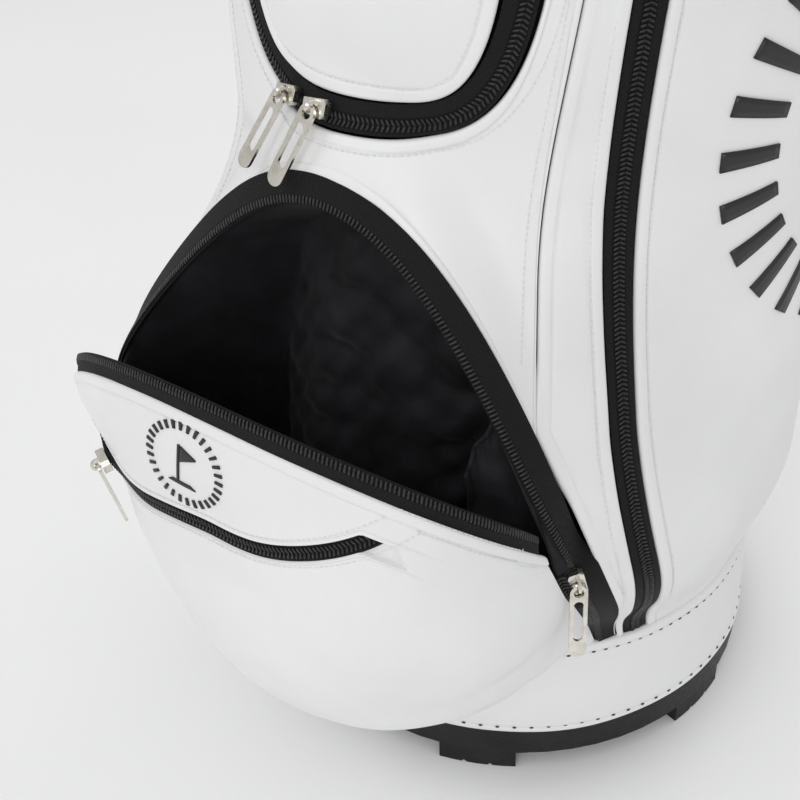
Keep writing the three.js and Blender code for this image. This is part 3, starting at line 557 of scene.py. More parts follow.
def level_rows(bottom, top, pitch):
    near = np.array([0, 0.3, 0.9, 2.0, 4.0, 7.0])
    count = int((top - bottom - 14) / pitch)
    return np.concatenate([bottom + near, np.linspace(bottom + 7, top - 7, count)[1:-1], top - near[::-1]])


def panel(name, left, right, bottom, top, replaces, middle, pitch=3.5):
    """A leather panel between two edges that give an angle at each level."""
    z = level_rows(bottom, top, pitch)
    a, b = left(z) + 0.12, right(z) - 0.12
    radius = surface((a + b) / 2, z)
    width = np.radians(b - a) * radius
    d = spaced(width, middle)
    angle = a[:, None] + (b - a)[:, None] * d / width[:, None]
    levels = np.broadcast_to(z[:, None], d.shape)
    near = np.minimum(d, width[:, None] - d)
    ends = np.minimum(levels - bottom, top - levels)
    lift = edge_lift(near) + edge_lift(ends, 0.0, 0.0)
    sheet_on_skin(name, angle, levels, np.maximum(lift, -2.5), replaces)


SKIN_BOTTOM = BAND_TOP + GAP
TAPE_ROOM = TAPE / 2 + 1


def upper_edge(share, grow=0.0):
    """The upper pocket's outline, share 0 to 1, as angles and levels. It can be grown."""

    def flat(value):
        s = 2 * value - 1
        widen = 1 - (1 - np.minimum(1, np.abs(s) * 1.3)) ** 1.7
        x = (BODY_R + UPPER_STAND) * np.sin(np.radians(np.sign(s) * UPPER_ANGLE * widen))
        return np.stack([x, mix(UPPER_BOTTOM, UPPER_TOP, np.abs(s) ** 3.2)], -1)

    along = unit(flat(np.minimum(1, share + 0.01)) - flat(np.maximum(0, share - 0.01)))
    away = np.stack([along[:, 1], -along[:, 0]], -1)
    p = flat(share) + away * grow
    z = np.minimum(p[:, 1], UPPER_TOP)
    z[[0, -1]] = UPPER_TOP
    angle = UPPER_TURN + np.degrees(np.arcsin(p[:, 0] / 160))
    for _ in range(3):
        angle = UPPER_TURN + np.degrees(np.arcsin(p[:, 0] / surface(angle, z)))
    return angle, z


def front_panel():
    t = np.sort(np.append(np.linspace(0, 1, 150), [0.3, 0.7]))
    inner_angle, inner_z = upper_edge(t, CHAIN / 2 + GAP)
    seam = seam_at(np.array(300.0)) - 0.12
    corner = float(arch_level(seam, TAPE_ROOM + 1))
    z = np.where(t < 0.3, mix(UPPER_TOP, corner, t / 0.3), mix(corner, UPPER_TOP, (t - 0.7) / 0.3))
    sweep = np.clip((t - 0.3) / 0.4, 0, 1) * 2 - 1
    angle = np.sign(t - 0.5) * (seam_at(z) - 0.12)
    middle = (t >= 0.3) & (t <= 0.7)
    angle = np.where(middle, sweep * seam, angle)
    z = np.where(middle, arch_level(sweep * seam, TAPE_ROOM + 1), z)
    a = on_skin(inner_angle, inner_z)
    b = on_skin(angle, z)
    width = np.linalg.norm(b - a, axis=-1)
    d = spaced(width, 16)
    share = d / width[:, None]
    where = mix(inner_angle[:, None], angle[:, None], share)
    level = mix(inner_z[:, None], z[:, None], share)
    lift = edge_lift(np.minimum(d, width[:, None] - d))
    sheet_on_skin("front_leather", where, level, lift, ["front_panel"])
    panel("front_yoke", lambda z: -seam_at(z), seam_at, UPPER_TOP + 0.3, BODY_TOP, [], 40)


def upper_pocket():
    t = np.linspace(0, 0.492, 110)
    angle, z = upper_edge(np.concatenate([t, (1 - t)[::-1]]), -CHAIN / 2 - GAP)
    n = len(t)
    a, b, level = angle[:n], angle[n:][::-1], np.minimum(z[:n], UPPER_TOP - 0.6)
    radius = surface((a + b) / 2, level)
    width = np.maximum(np.radians(b - a) * radius, 0.5)
    d = spaced(width, 30)
    where = a[:, None] + (b - a)[:, None] * d / width[:, None]
    levels = np.broadcast_to(level[:, None], d.shape)
    outline = np.concatenate([a, b[::-1]]), np.concatenate([level, level[::-1]])
    floor = np.interp(where.ravel(), *outline).reshape(d.shape)
    near = np.minimum(np.minimum(d, width[:, None] - d), levels - floor)
    near = np.minimum(near, UPPER_TOP - 0.6 - levels)
    lift = edge_lift(np.maximum(near, 0)) + 3.0 * smooth(0, 45, near)
    sheet_on_skin("upper_pocket_leather", where, levels, lift, ["upper_pocket"])


def chain_half(z):
    return degrees(CHAIN / 2, surface(ZIP_ANGLE, z))


def after_zip(z):
    return zip_at(z) + chain_half(z)


def gusset_front(z):
    return np.maximum(seam_at(z), arch_at(z, TAPE_ROOM))


def fixed(angle):
    return lambda z: np.full(np.shape(z), angle)


def body_panels():
    gusset = gusset_front, lambda z: zip_at(z) - chain_half(z), "gusset", "gusset", 10, 3.0
    pocket = after_zip, fixed(BACK_SEAM), "side", "side_pocket", 34, 3.5
    for side, word in SIDES:
        for first, last, key, node, middle, pitch in (gusset, pocket):
            edges = (first, last) if side > 0 else (lambda z: -last(z), lambda z: -first(z))
            name, replaces = f"{key}_leather_{word}", [f"{node}_{word}"]
            panel(name, *edges, SKIN_BOTTOM, BODY_TOP, replaces, middle, pitch)
    edges = fixed(BACK_SEAM), fixed(360 - BACK_SEAM)
    panel("back_leather", *edges, SKIN_BOTTOM, BODY_TOP, ["back_panel"], 40, 4.0)


front_panel()
upper_pocket()
body_panels()

# ---- zips on the body


def skin_line(angle, z, lift=0.0):
    """A line on the skin with its sideways and outward directions."""
    points = on_skin(angle, z, np.full(np.shape(angle), lift))
    out = skin_normal(angle, z)
    along = frames(points)
    across = unit(np.cross(along, out))
    return points, across, unit(np.cross(across, along))


def tape_profile(left, right, chain, reach):
    """A zip tape's section: flat beside the chain, with a woven ridge along each side of it."""
    low, high = chain - reach, chain + reach
    top = [(left, -0.3), (left + 0.4, 0), (low - 1.2, 0.1), (low - 0.4, 0.35), (low, 0.0)]
    top += [(high, 0.0), (high + 0.4, 0.35), (high + 1.2, 0.1), (right - 0.4, 0), (right, -0.3)]
    top = [p for p in top if left <= p[0] <= right]
    return top + [(right, -1.2), (left, -1.2)]


def closed_zip(name, line, width, body, replaces, chain=0.0):
    made = strip(*line, tape_profile(-width / 2, width / 2, chain, 3.3))
    piece(name, *made[:2], TAPE_BLACK, body, replaces, made[2])
    rows = [coil(*line, 2.3, 3.3, chain - 1.45 * way, 0.5 * way, 0.35) for way in (1, -1)]
    piece(name + "_coil", *merged(rows), COIL, body)


def open_zip(name, line, low, high, body, replaces, dip):
    """Half of a zip: its tape, and its coil along the high side."""
    profile = [(low, -0.3), (low + 0.4, 0), (high - 5.4, 0), (high - 4.9, 0.3), (high - 4.5, 0)]
    profile += [(high - 0.4, -dip), (high, -0.3 - dip), (high, -1.1 - dip)]
    made = strip(*line, profile + [(high - 4.5, -1.1), (low, -1.2)])
    piece(name, *made[:2], TAPE_BLACK, body, replaces, made[2])
    ridges = coil(*line, 2.15, 4.4, high - 2.5, 0.0, 0.45 - dip / 2, 1.45)
    piece(name + "_coil", *ridges, COIL, body)


levels = np.linspace(SKIN_BOTTOM + 0.6, BODY_TOP - 1, 420)
for side, word in SIDES:
    line = skin_line(side * zip_at(levels), levels, -1.0)
    closed_zip(f"side_zip_tape_{word}", line, CHAIN - 0.6, "shell", [f"side_zip_{word}"])

share = np.linspace(0, 1, 420)
angle, level = upper_edge(share, 0.0)
closed_zip("upper_zip_tape", skin_line(angle, level, -1.0), CHAIN - 0.4, "shell", ["upper_zip"], 2.4)

sweep = np.linspace(-1, 1, 640)
level = mix(BAND_TOP + 0.8, ARCH_TOP, np.cos(np.pi / 2 * sweep))
arch_line = skin_line(np.sign(sweep) * arch_at(level), level, -0.2)
edges = -TAPE / 2 - 3.0, TAPE / 2 - 0.3
open_zip("ball_zip_arch_tape", arch_line, *edges, "shell", ["ball_zip_body_tape"], 1.2)

# Below the sliders the zip is closed: the belly's half of it lies beside the body's.
for side, word in SIDES:
    level = np.linspace(BAND_TOP + 0.8, SLIDER_LEVEL[side] - 8, 160)
    line = skin_line(side * arch_at(level, -TAPE / 2 - 4), level, -1.4)
    closed_zip(f"ball_zip_belly_tape_{word}", line, 10.0, "shell", [], 2.0 * side)

# ---- stitching on the body


def sewn(name, lines, pitch=3.1, length=2.3, radius=0.33, body="shell"):
    """Rows of stitching along lines that come with their directions."""
    made = merged([stitches(points, out, pitch, length, radius) for points, _, out in lines])
    piece(name, *made, THREAD, body)


SEWN = 6.6  # distance of the stitching from a leather edge
rows = []
for side in (1, -1):
    z = np.linspace(SKIN_BOTTOM + 3, BODY_TOP - 3, 400)
    for way in (-1, 1):
        rows.append(skin_line(side * (zip_at(z) + way * (chain_half(z) + degrees(SEWN, 160))), z))
        rows.append(skin_line(side * (BACK_SEAM + way * degrees(SEWN, 150)), z))
    z = np.linspace(310, BODY_TOP - 3, 300)
    rows.append(skin_line(side * (seam_at(z) - degrees(SEWN, 160)), z))
share = np.linspace(0.004, 0.996, 500)
for grow in (CHAIN / 2 + GAP + SEWN, -CHAIN / 2 - GAP - SEWN):
    rows.append(skin_line(*upper_edge(share, grow)))
sewn("body_stitching", rows)


# ---- the open ball pocket


def bezier(points, t):
    a, b, c, d = (np.array(p, float) for p in points)
    t = t[..., None]
    return a * (1 - t) ** 3 + 3 * b * (1 - t) ** 2 * t + 3 * c * (1 - t) * t**2 + d * t**3


BELLY = [
    (BAND_R + 2, SKIN_BOTTOM),
    (BAND_R + 70, SKIN_BOTTOM - BELLY_DROOP),
    (FLAP_FRONT, 120),
    (FLAP_FRONT, FLAP_HINGE),
]
FLAP = [
    (FLAP_FRONT, FLAP_HINGE + 1),
    (FLAP_FRONT + 3, FLAP_HINGE + 40),
    (FLAP_FRONT, FLAP_RIM - 25),
    (FLAP_FRONT - FLAP_LEAN, FLAP_RIM),
]


def front_point(u, w):
    """The pocket's front. u goes from the left zip to the right, w from the band (0) to the rim (2)."""
    u, w = np.broadcast_arrays(u, w)
    turn = (2 * u - 1) * (np.pi / 2)
    side = np.where(turn < 0, -1, 1)
    on_belly = w <= 1
    rise = np.where(on_belly, w, w - 1)
    square = np.where(on_belly, mix(1.7, 2.5, w), 2.5)
    across = np.sign(turn) * np.abs(np.sin(turn)) ** (2 / square)
    forward = np.abs(np.cos(turn)) ** (2 / square)
    level = np.where(side < 0, SLIDER_LEVEL[-1], SLIDER_LEVEL[1])
    edge_z = np.where(on_belly, mix(SKIN_BOTTOM + 1, level, rise), level + 1 + 6 * rise)
    edge_angle = side * arch_at(edge_z, -TAPE_ROOM - 1.5)
    edge = polar(edge_angle, surface(edge_angle, edge_z) - 1, edge_z)
    front = np.where(on_belly[..., None], bezier(BELLY, rise), bezier(FLAP, rise))
    narrowing = LEFT_NARROWING * np.where(on_belly, smooth(0.05, 0.6, rise), 1 - smooth(0, 1, rise))
    drawn = np.where(side < 0, 1 - narrowing * smooth(0, 0.6, forward), 1)
    return np.stack(
        [
            np.abs(edge[..., 0]) * across * drawn,
            mix(edge[..., 1], -front[..., 0], forward),
            mix(edge[..., 2], front[..., 1], forward),
        ],
        -1,
    )


def front_normal(u, w):
    e = 0.003
    across = front_point(np.minimum(1, u + e), w) - front_point(np.maximum(0, u - e), w)
    up = front_point(u, np.minimum(2, w + e)) - front_point(u, np.maximum(0, w - e))
    return unit(np.cross(across, up))


def crowd(u):
    return 0.5 - 0.5 * np.cos(np.pi * u) * (1 - 0.25 * np.sin(np.pi * u) ** 2)


def slit_level(x):
    left_rise = 12 * (np.maximum(0, -50 - x) / 58) ** 1.5
    return 219 + 17 * smooth(-110, 0, x) + left_rise + 33 * np.maximum(0, x / 92) ** 2


SLIT_ROWS = np.array([1, 3, 4.85, 5.05, 5.4, 6.2, 6.8, 7.3, 8.2, 10])
SLIT_ROWS = np.concatenate([-SLIT_ROWS[::-1], SLIT_ROWS])
HALF_SLIT = 4.95


def column_lengths(u, w):
    grid = front_point(u[None, :], w[:, None])
    step = np.linalg.norm(np.diff(grid, axis=0), axis=-1)
    return grid, np.concatenate([np.zeros((1, len(u))), np.cumsum(step, axis=0)])


def pocket_grid(columns):
    """u and w of the front's points, with rows that follow the slit pocket and the rim."""
    u = mix(0.004, 0.996, crowd(np.linspace(0, 1, columns)))
    w = np.linspace(0, 2, 481)
    grid, length = column_lengths(u, w)
    upper = w >= 0.6
    end = length[-1]
    slit = np.empty(columns)
    for i in range(columns):
        over = grid[upper, i, 2] - slit_level(grid[upper, i, 0])
        slit[i] = np.interp(0, over, length[upper, i])
    slit = np.minimum(slit, end - 24)
    rim = EDGE[:-1][::-1]
    rows = []
    for i in range(columns):
        lower = np.linspace(0, 1, 62) * (slit[i] + SLIT_ROWS[0])
        between = np.linspace(slit[i] + SLIT_ROWS[-1], end[i] - rim[0], 16)
        rows.append(np.concatenate([lower[:-1], slit[i] + SLIT_ROWS, between[1:-1], end[i] - rim]))
    rows = np.array(rows).T
    out = np.empty_like(rows)
    for i in range(columns):
        out[:, i] = np.interp(rows[:, i], length[:, i], w)
    return np.broadcast_to(u, out.shape), out, rows - slit[None, :], end[None, :] - rows


def dent(p, centre, direction, length, width, depth):
    """A long soft hollow in the leather."""
    along = unit(np.array(direction, float))
    to = p - np.array(centre, float)
    run = to @ along
    off = np.linalg.norm(to - run[..., None] * along, axis=-1)
    return -depth * np.exp(-((run / length) ** 2) - (off / width) ** 2)


def softness(p):
    """How far the pocket's front stands off its plain form: long hollows and slight unevenness."""
    folds = dent(p, (92, -176, 176), (0.45, 0.45, 0.75), 26, 13, 3.0)
    folds += dent(p, (66, -205, 150), (0.75, 0.35, 0.55), 34, 15, 2.2)
    folds += dent(p, (118, -150, 122), (0.5, 0.4, 0.77), 22, 9, 2.0)
    folds += dent(p, (-84, -205, 165), (-0.4, 0.4, 0.8), 40, 16, 2.0)
    return folds + unevenness(p, 0.9)


def front_lift(p, from_slit, from_rim):
    square_end = p[..., 0] + 0.47 * from_slit
    opening = smooth(SLIT_ENDS[0] - 3, SLIT_ENDS[0], p[..., 0])
    opening = opening * (1 - smooth(SLIT_ENDS[1] + 0.2, SLIT_ENDS[1] + 1.8, square_end))
    seam = smooth(-125, -112, p[..., 0]) * (1 - smooth(96, 113, p[..., 0]))
    off = np.abs(from_slit)
    facing = seam * (0.45 * (1 - smooth(5.6, 6.9, off)) - 0.5 * np.exp(-(((off - 6.8) / 0.5) ** 2)))
    floor = -2.7 * opening * (off < HALF_SLIT)
    rim = edge_lift(np.maximum(from_rim, 0), 0.5, 0.6)
    return facing + floor + rim + softness(p)


front_u, front_w, from_slit, from_rim = pocket_grid(200)
front_base = front_point(front_u, front_w)
front_out = front_normal(front_u, front_w)
front_face = front_base + front_out * front_lift(front_base, from_slit, from_rim)[..., None]
nodes = ["ball_pocket_belly", "ball_pocket_flap"]
made = shell(front_face, front_base - front_out * SKIN)
pocket_front = piece("ball_pocket_leather", *made, WHITE, None, nodes)

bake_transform(pocket_front)

inside = front_base - front_out * (3.5 + 1.2 * np.abs(waves(front_base, 26, 9)))[..., None]
made = shell(inside, inside - front_out * 0.9)
front_lining = piece("pocket_front_lining", *made, LINING, None)
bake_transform(front_lining)


def on_flap(x, z):
    """The place and outward direction of the flap at distances across and levels."""
    u = np.full(np.shape(x), 0.5)
    w = np.full(np.shape(x), 1.5)
    for _ in range(6):
        for axis, goal, low, high in ((0, x, 0.01, 0.99), (2, z, 0.7, 2.0)):
            low, high = np.full(np.shape(x), low), np.full(np.shape(x), high)
            for _ in range(20):
                middle = (low + high) / 2
                value = front_point(middle, w) if axis == 0 else front_point(u, middle)
                under = value[..., axis] < goal
                low, high = np.where(under, middle, low), np.where(under, high, middle)
            if axis == 0:
                u = low
            else:
                w = low
    return front_point(u, w), front_normal(u, w)


def flap_line(x, z, lift=0.0):
    points, out = on_flap(x, z)
    along = frames(points)
    across = unit(np.cross(along, out))
    return points + out * (lift + softness(points))[:, None], across, out


x = np.linspace(SLIT_ENDS[0] - 2, SLIT_ENDS[1] - 1.0, 260)
under_slider = 3.2 * np.exp(-(((x - SLIT_ENDS[0] - 13) / 11) ** 2))
lift = under_slider - 1.0 - 1.3 * smooth(78, 90, x)
closed_zip("slit_zip_tape", flap_line(x, slit_level(x), lift), 9.6, "flap", ["slit_zip"])

rim_u = mix(0.014, 0.986, crowd(np.linspace(0, 1, 400)))
rim = front_point(rim_u, 2.0)
rim_up = unit(rim - front_point(rim_u, 1.97))
rim_out = unit(front_normal(rim_u, 1.99))
rim_out = unit(rim_out - rim_up * (rim_out * rim_up).sum(-1, keepdims=True))
rim_line = rim - rim_out * 1.0, rim_up, rim_out
open_zip("flap_rim_tape", rim_line, -1.5, 10.2, "flap", ["flap_zip_tape"], 0.6)

# Rows of stitching on the flap, either side of the slit.
rows = []
x = np.linspace(-116, 126, 300)
for off in (-7.4, 7.4):
    points, across, out = flap_line(x, slit_level(x))
    rows.append(flap_line(points[:, 0] - across[:, 0] * off, points[:, 2] - across[:, 2] * off))
sewn("slit_stitching", rows, pitch=3.0, length=2.1, body="flap")


# ---- emblems


def decal(name, quads, place, lift, body, step):
    """Raised print: flat quadrilaterals in the emblem's own plane, laid on a surface."""
    made = []
    for quad in quads:
        a, b, c, d = (np.array(p, float) for p in quad)
        m = max(2, int(max(np.linalg.norm(b - a), np.linalg.norm(c - d)) / step) + 1)
        n = max(2, int(max(np.linalg.norm(d - a), np.linalg.norm(c - b)) / step) + 1)
        s = np.linspace(0, 1, m)[None, :, None]
        t = np.linspace(0, 1, n)[:, None, None]
        flat = (a * (1 - s) + b * s) * (1 - t) + (d * (1 - s) + c * s) * t
        points, out = place(flat[..., 0], flat[..., 1])
        made.append(shell(points + out * lift, points - out * 0.5))
    piece(name, *merged(made), INK, body)


def ring_of_bars(inner, outer, count, share, stretch=1.0):
    quads = []
    for i in range(count):
        middle = 2 * math.pi * (i + 0.5) / count
        half = math.pi / count * share
        corners = ((inner, -half), (outer, -half), (outer, half), (inner, half))
        turned_to = [(r, middle + a) for r, a in corners]
        quads.append([(stretch * r * math.sin(a), r * math.cos(a)) for r, a in turned_to])
    return quads


def pennant(size):
    """A plain flag on a pole over a low mound."""
    pole = [(-0.32, -0.75), (-0.2, -0.75), (-0.2, 0.85), (-0.32, 0.85)]
    flag = [(-0.14, 0.12), (0.72, 0.44), (0.72, 0.5), (-0.14, 0.82)]
    mound = [(-0.85, -0.95), (0.75, -0.95), (0.45, -0.8), (-0.6, -0.8)]
    return [[(size * x, size * y) for x, y in quad] for quad in (pole, flag, mound)]


FLAP_EMBLEM = (-21.0, 265.5)
SIDE_EMBLEM = (104.0, 392.0)


def on_flap_emblem(x, y):
    points, out = on_flap(FLAP_EMBLEM[0] + x, FLAP_EMBLEM[1] + y)
    return points + out * softness(points)[..., None], out


def on_side_emblem(side):
    def place(x, y):
        angle = side * SIDE_EMBLEM[0] + degrees(x, 168)
        z = SIDE_EMBLEM[1] + y
        p = on_skin(angle, z)
        return p + skin_normal(angle, z) * unevenness(p)[..., None], skin_normal(angle, z)

    return place


emblem = ring_of_bars(17.5, 21.5, 30, 0.36, 1.22) + pennant(11.5)
decal("flap_emblem", emblem, on_flap_emblem, 0.75, "flap", 1.2)
for side, word in SIDES:
    quads = ring_of_bars(80, 111, 26, 0.36) + pennant(50)
    decal(f"side_emblem_{word}", quads, on_side_emblem(side), 1.1, "shell", 3.0)

# ---- inside the pocket

LINER_R = BARREL_R + 8.6


def arch_lining():
    """The black lining behind the open pocket: flat against the barrel, coming forward to the zip."""
    lower = np.linspace(BAND_TOP + 1.2, ARCH_TOP - 30, 90)
    z = np.concatenate([lower, np.linspace(ARCH_TOP - 29, ARCH_TOP - 1, 30)])
    half = arch_at(z, -2.0) - 0.2
    share = np.sin(np.linspace(-1, 1, 121) * np.pi / 2)
    angle = half[:, None] * share
    level = np.broadcast_to(z[:, None], angle.shape)
    sides = np.radians(half[:, None] - np.abs(angle)) * 170
    d = np.minimum(sides, np.maximum(0, arch_level(angle, -2.0) - level))
    outer = surface(angle, level) - 2.2
    p = polar(angle, 160.0, level)
    folds = 5.0 * np.abs(waves(p, 55, 21)) + 1.6 * waves(p, 18, 22)
    radius = mix(outer, LINER_R + 1.0 + folds * smooth(10, 40, d), smooth(0.5, 24, d))
    made = shell(polar(angle, radius, level), polar(angle, radius - 0.8, level))
    piece("pocket_back_lining", *made, LINING, "shell", ["ball_pocket_liner"])


def inner_pouch():
    """A thin pouch of lining at the right of the pocket, its free edge lightly gathered."""
    s, t = np.meshgrid(np.linspace(0, 1, 90), np.linspace(0, 1, 110))
    levels = [122, 150, 200, 240, 286]
    right = (106, 116, 118, 105, 97), (-98, -116, -140, -147, -144)
    left = (74, 76, 79, 82, 70), (-150, -158, -163, -166, -162)
    top = mix(286, 251, s) + 7 * np.sin(np.pi * s) + 1.6 * np.sin(17 * s + 1)
    z = mix(top, 122, t)
    ways = [mix(np.interp(z, levels, a), np.interp(z, levels, b), s) for a, b in zip(right, left)]
    p = np.stack([*ways, z], -1)
    out = np.array([0.3, -0.95, 0.1])
    free = smooth(0, 0.35, s)
    crumple = (2.6 * np.abs(waves(p, 42, 31)) + 1.0 * waves(p, 16, 32)) * free
    gathers = 0.7 * np.sin(46 * s + 2 * np.sin(5 * s)) * (1 - smooth(0, 0.12, t)) * free
    belly = 7 * np.sin(np.pi * s) * np.sin(np.pi * np.minimum(1, t * 1.3))
    p = p + out * (crumple + gathers + belly - 1.5)[..., None]
    piece("pocket_inner_pouch", *shell(p, p - out * 0.8), LINING)
    edge = np.concatenate([p[1, 8:], p[2:60, -1]])
    across = unit(np.cross(frames(edge), out))
    hem = [(-1.1, -0.9), (1.0, -0.9), (1.3, 0.1), (0.9, 0.7), (-0.9, 0.7)]
    made = strip(edge, across, np.tile(out, (len(edge), 1)), hem)
    piece("pocket_pouch_hem", *made[:2], LINING, uv=made[2])


arch_lining()
inner_pouch()

# ---- copies of CAD nodes with finer detail


def refined(node, material, bevel=0.0, segments=3, rumple=0.0, seed=1):
    """A copy of a CAD node with rounded edges, or softened and rumpled where it is cloth."""
    mesh = frame["nodes"][node].data.copy()
    form = bmesh.new()
    form.from_mesh(mesh)
    bmesh.ops.remove_doubles(form, verts=form.verts, dist=1e-5)
    bmesh.ops.dissolve_limit(form, angle_limit=math.radians(1.0), verts=form.verts, edges=form.edges)
    if rumple:
        bmesh.ops.triangulate(form, faces=form.faces)
        for _ in range(2):
            long_edges = [e for e in form.edges if e.calc_length() > 0.02]
            bmesh.ops.subdivide_edges(form, edges=long_edges, cuts=1, use_grid_fill=True)
        form.normal_update()
        for v in form.verts:
            p = np.array(v.co)[None] * 1000
            v.co += v.normal * float(waves(p, 70, seed)[0]) * rumple * 0.001
    bmesh.ops.recalc_face_normals(form, faces=form.faces)
    form.to_mesh(mesh)
    form.free()
    mesh.materials.clear()
    mesh.materials.append(material)
    obj = add(node + "_detail", mesh)
    mesh.shade_smooth()
    if bevel:
        made = obj.modifiers.new("edges", "BEVEL")
        made.width, made.segments, made.limit_method = bevel * 0.001, segments, "ANGLE"
        made.angle_limit = math.radians(32)
        made.harden_normals = False
        obj.modifiers.new("normals", "WEIGHTED_NORMAL")
    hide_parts(node)
    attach(obj, frame["nodes"][node]["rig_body"])
    return obj


for key in ("ball_zip_left", "ball_zip_right", "upper_zip_left", "upper_zip_right", "side_zip_left") + (
    "side_zip_right",
    "slit_zip",
):
    refined(f"{key}_slider", NICKEL, 0.55)
    refined(f"{key}_tab", NICKEL, 0.5)
for end in ("top", "bottom"):
    refined(f"strap_ring_{end}", NICKEL, 0.8)
    refined(f"strap_hook_{end}", NICKEL, 0.8)
    refined(f"strap_anchor_{end}", WHITE, 1.2)
refined("towel_ring_tab", WHITE, 1.2)
refined("base_tray", PLASTIC, 1.1)
refined("divider_collar", PLASTIC, 1.6, 4)
refined("floor_pad", LINING, 1.0, 2)
liners = ("club_dividers", "upper_pocket_liner", "side_liner_right", "side_liner_left")
for seed, node in enumerate(liners, 5):
    refined(node, LINING, rumple=0.35, seed=seed)

for node, material in [("barrel", BOARD)] + [(f"stay_rod_{i}", ALUMINIUM) for i in range(1, 5)]:
    made = frame["nodes"][node]
    made.data.materials.clear()
    made.data.materials.append(material)

# ---- round pieces


def turned(name, profile, material, replaces, count, wobble):
    """A closed profile of radius and level turned round the bag's axis."""
    profile = np.asarray(profile, float)
    angle = np.linspace(0, 360, count, endpoint=False)[:, None]
    p = polar(angle, profile[None, :, 0], profile[None, :, 1])
    p = p + directions(angle)[1] * (wobble * waves(p, 60, 12))[..., None]
    faces = tube_faces(count, len(profile), loop=True)
    return piece(name, p.reshape(-1, 3), faces, material, "shell", replaces)


def band_radius(z):
    rise = (z - TRAY_TOP) / (BAND_TOP - TRAY_TOP)
    return mix(BASE_R, BAND_R + 1.6, rise) + 0.9 * np.sin(np.pi * rise)


BAND_ROWS = (TRAY_TOP + 3.6, BAND_TOP - 6.0)
outer = [TRAY_TOP, 32.4, 33.2, 34.4, 35.2, 35.6, 36.0, 36.6, 38, 42, 50, 60, 70, 80, 86]
outer += [88, 89.2, 89.7, 90.0, 90.4, 91.2, 93, 95, 96.2, 97.0]
profile = []
for z in outer:
    groove = sum(0.7 * math.exp(-(((z - row) / 0.5) ** 2)) for row in BAND_ROWS)
    lip = 0.8 * (1 - smooth(34.6, 36.2, z)) + 0.8 * smooth(89.4, 91.4, z)
    end = 1.4 * (1 - math.sqrt(max(0, 1 - max(0, 1 - (z - TRAY_TOP) / 1.6) ** 2)))
    end += 1.6 * (1 - math.sqrt(max(0, 1 - max(0, (z - 95.4) / 1.6) ** 2)))
    profile.append((float(band_radius(z) + lip - groove - end), z))
profile += [(BAND_R - 1.2, 97.0), (BAND_R - 2.6, 90), (BASE_R - 3.0, 40), (BASE_R - 3.0, TRAY_TOP)]
turned("base_band_leather", profile, WHITE, ["base_band"], 480, 0.35)

# Small dark rods along the band's two rows: painted shade where the needle holes are.
holes = []
for z, pitch in zip(BAND_ROWS, (9.8, 7.4)):
    count = int(round(2 * math.pi * 147 / pitch))
    angle = np.arange(count) * 360 / count
    along, out = directions(angle)
    centre = polar(angle, band_radius(z) + 0.05, z)
    holes.append(rods(centre, along, np.tile(UP, (count, 1)), out, 2.2, 1.5, 0.9))
piece("band_hole_painted_shade", *merged(holes), HOLE_SHADE)

CUFF_ROWS = (BODY_TOP + 7, TOP - 16)
cuff = [(BARREL_R + 0.6, BODY_TOP + 1)]
for z in np.linspace(BODY_TOP + 0.6, TOP - 13, 40):
    roll = 1.2 * (1 - math.sqrt(1 - max(0, 1 - (z - BODY_TOP) / 2.5) ** 2))
    seam = sum(1.3 * math.exp(-(((z - row) / 0.8) ** 2)) for row in CUFF_ROWS)
    rise = (z - CUFF_ROWS[0]) / (CUFF_ROWS[1] - CUFF_ROWS[0])
    swell = 2.2 * math.sin(math.pi * min(1, max(0, rise)))
    cuff.append((BODY_TOP_R + 1.2 + swell - seam - roll, z))
for a in np.linspace(-0.25 * math.pi, math.pi, 26):
    cuff.append((BODY_TOP_R - 6.6 + 8.2 * math.cos(a), TOP - 8.4 + 8.2 * math.sin(a)))
cuff.append((BARREL_R + 0.7, TOP - 14))
cuff_piece = turned("top_cuff_padding", cuff, WHITE, ["top_cuff"], 300, 0.6)

angle = np.linspace(0, 360, 721)
rows = [(polar(angle, BODY_TOP_R + 0.9, z), *directions(angle)) for z in CUFF_ROWS]
sewn("cuff_stitching", rows, pitch=4.0, length=3.0)

# ---- handles


def smooth_line(corners, count):
    """A smooth line through corner points."""
    p = np.array(corners, float)
    p = np.concatenate([[2 * p[0] - p[1]], p, [2 * p[-1] - p[-2]]])
    place = np.linspace(0, len(corners) - 1.0001, count)
    low = place.astype(int)
    t = (place - low)[:, None]
    a, b, c, d = (p[low + i] for i in range(4))
    square, cube = 2 * a - 5 * b + 4 * c - d, 3 * b - a - 3 * c + d
    return 0.5 * (2 * b + (c - a) * t + square * t**2 + cube * t**3)


HANDLE_ANGLE, HANDLE_REACH, HANDLE_R = 62.0, 42.0, 8.0
HANDLE_Z = BODY_TOP + 24
HANDLE_CORNERS = [(-0.5, 0), (-0.5, 0.4), (-0.35, 0.9), (0, 1), (0.35, 0.9), (0.5, 0.4), (0.5, 0)]

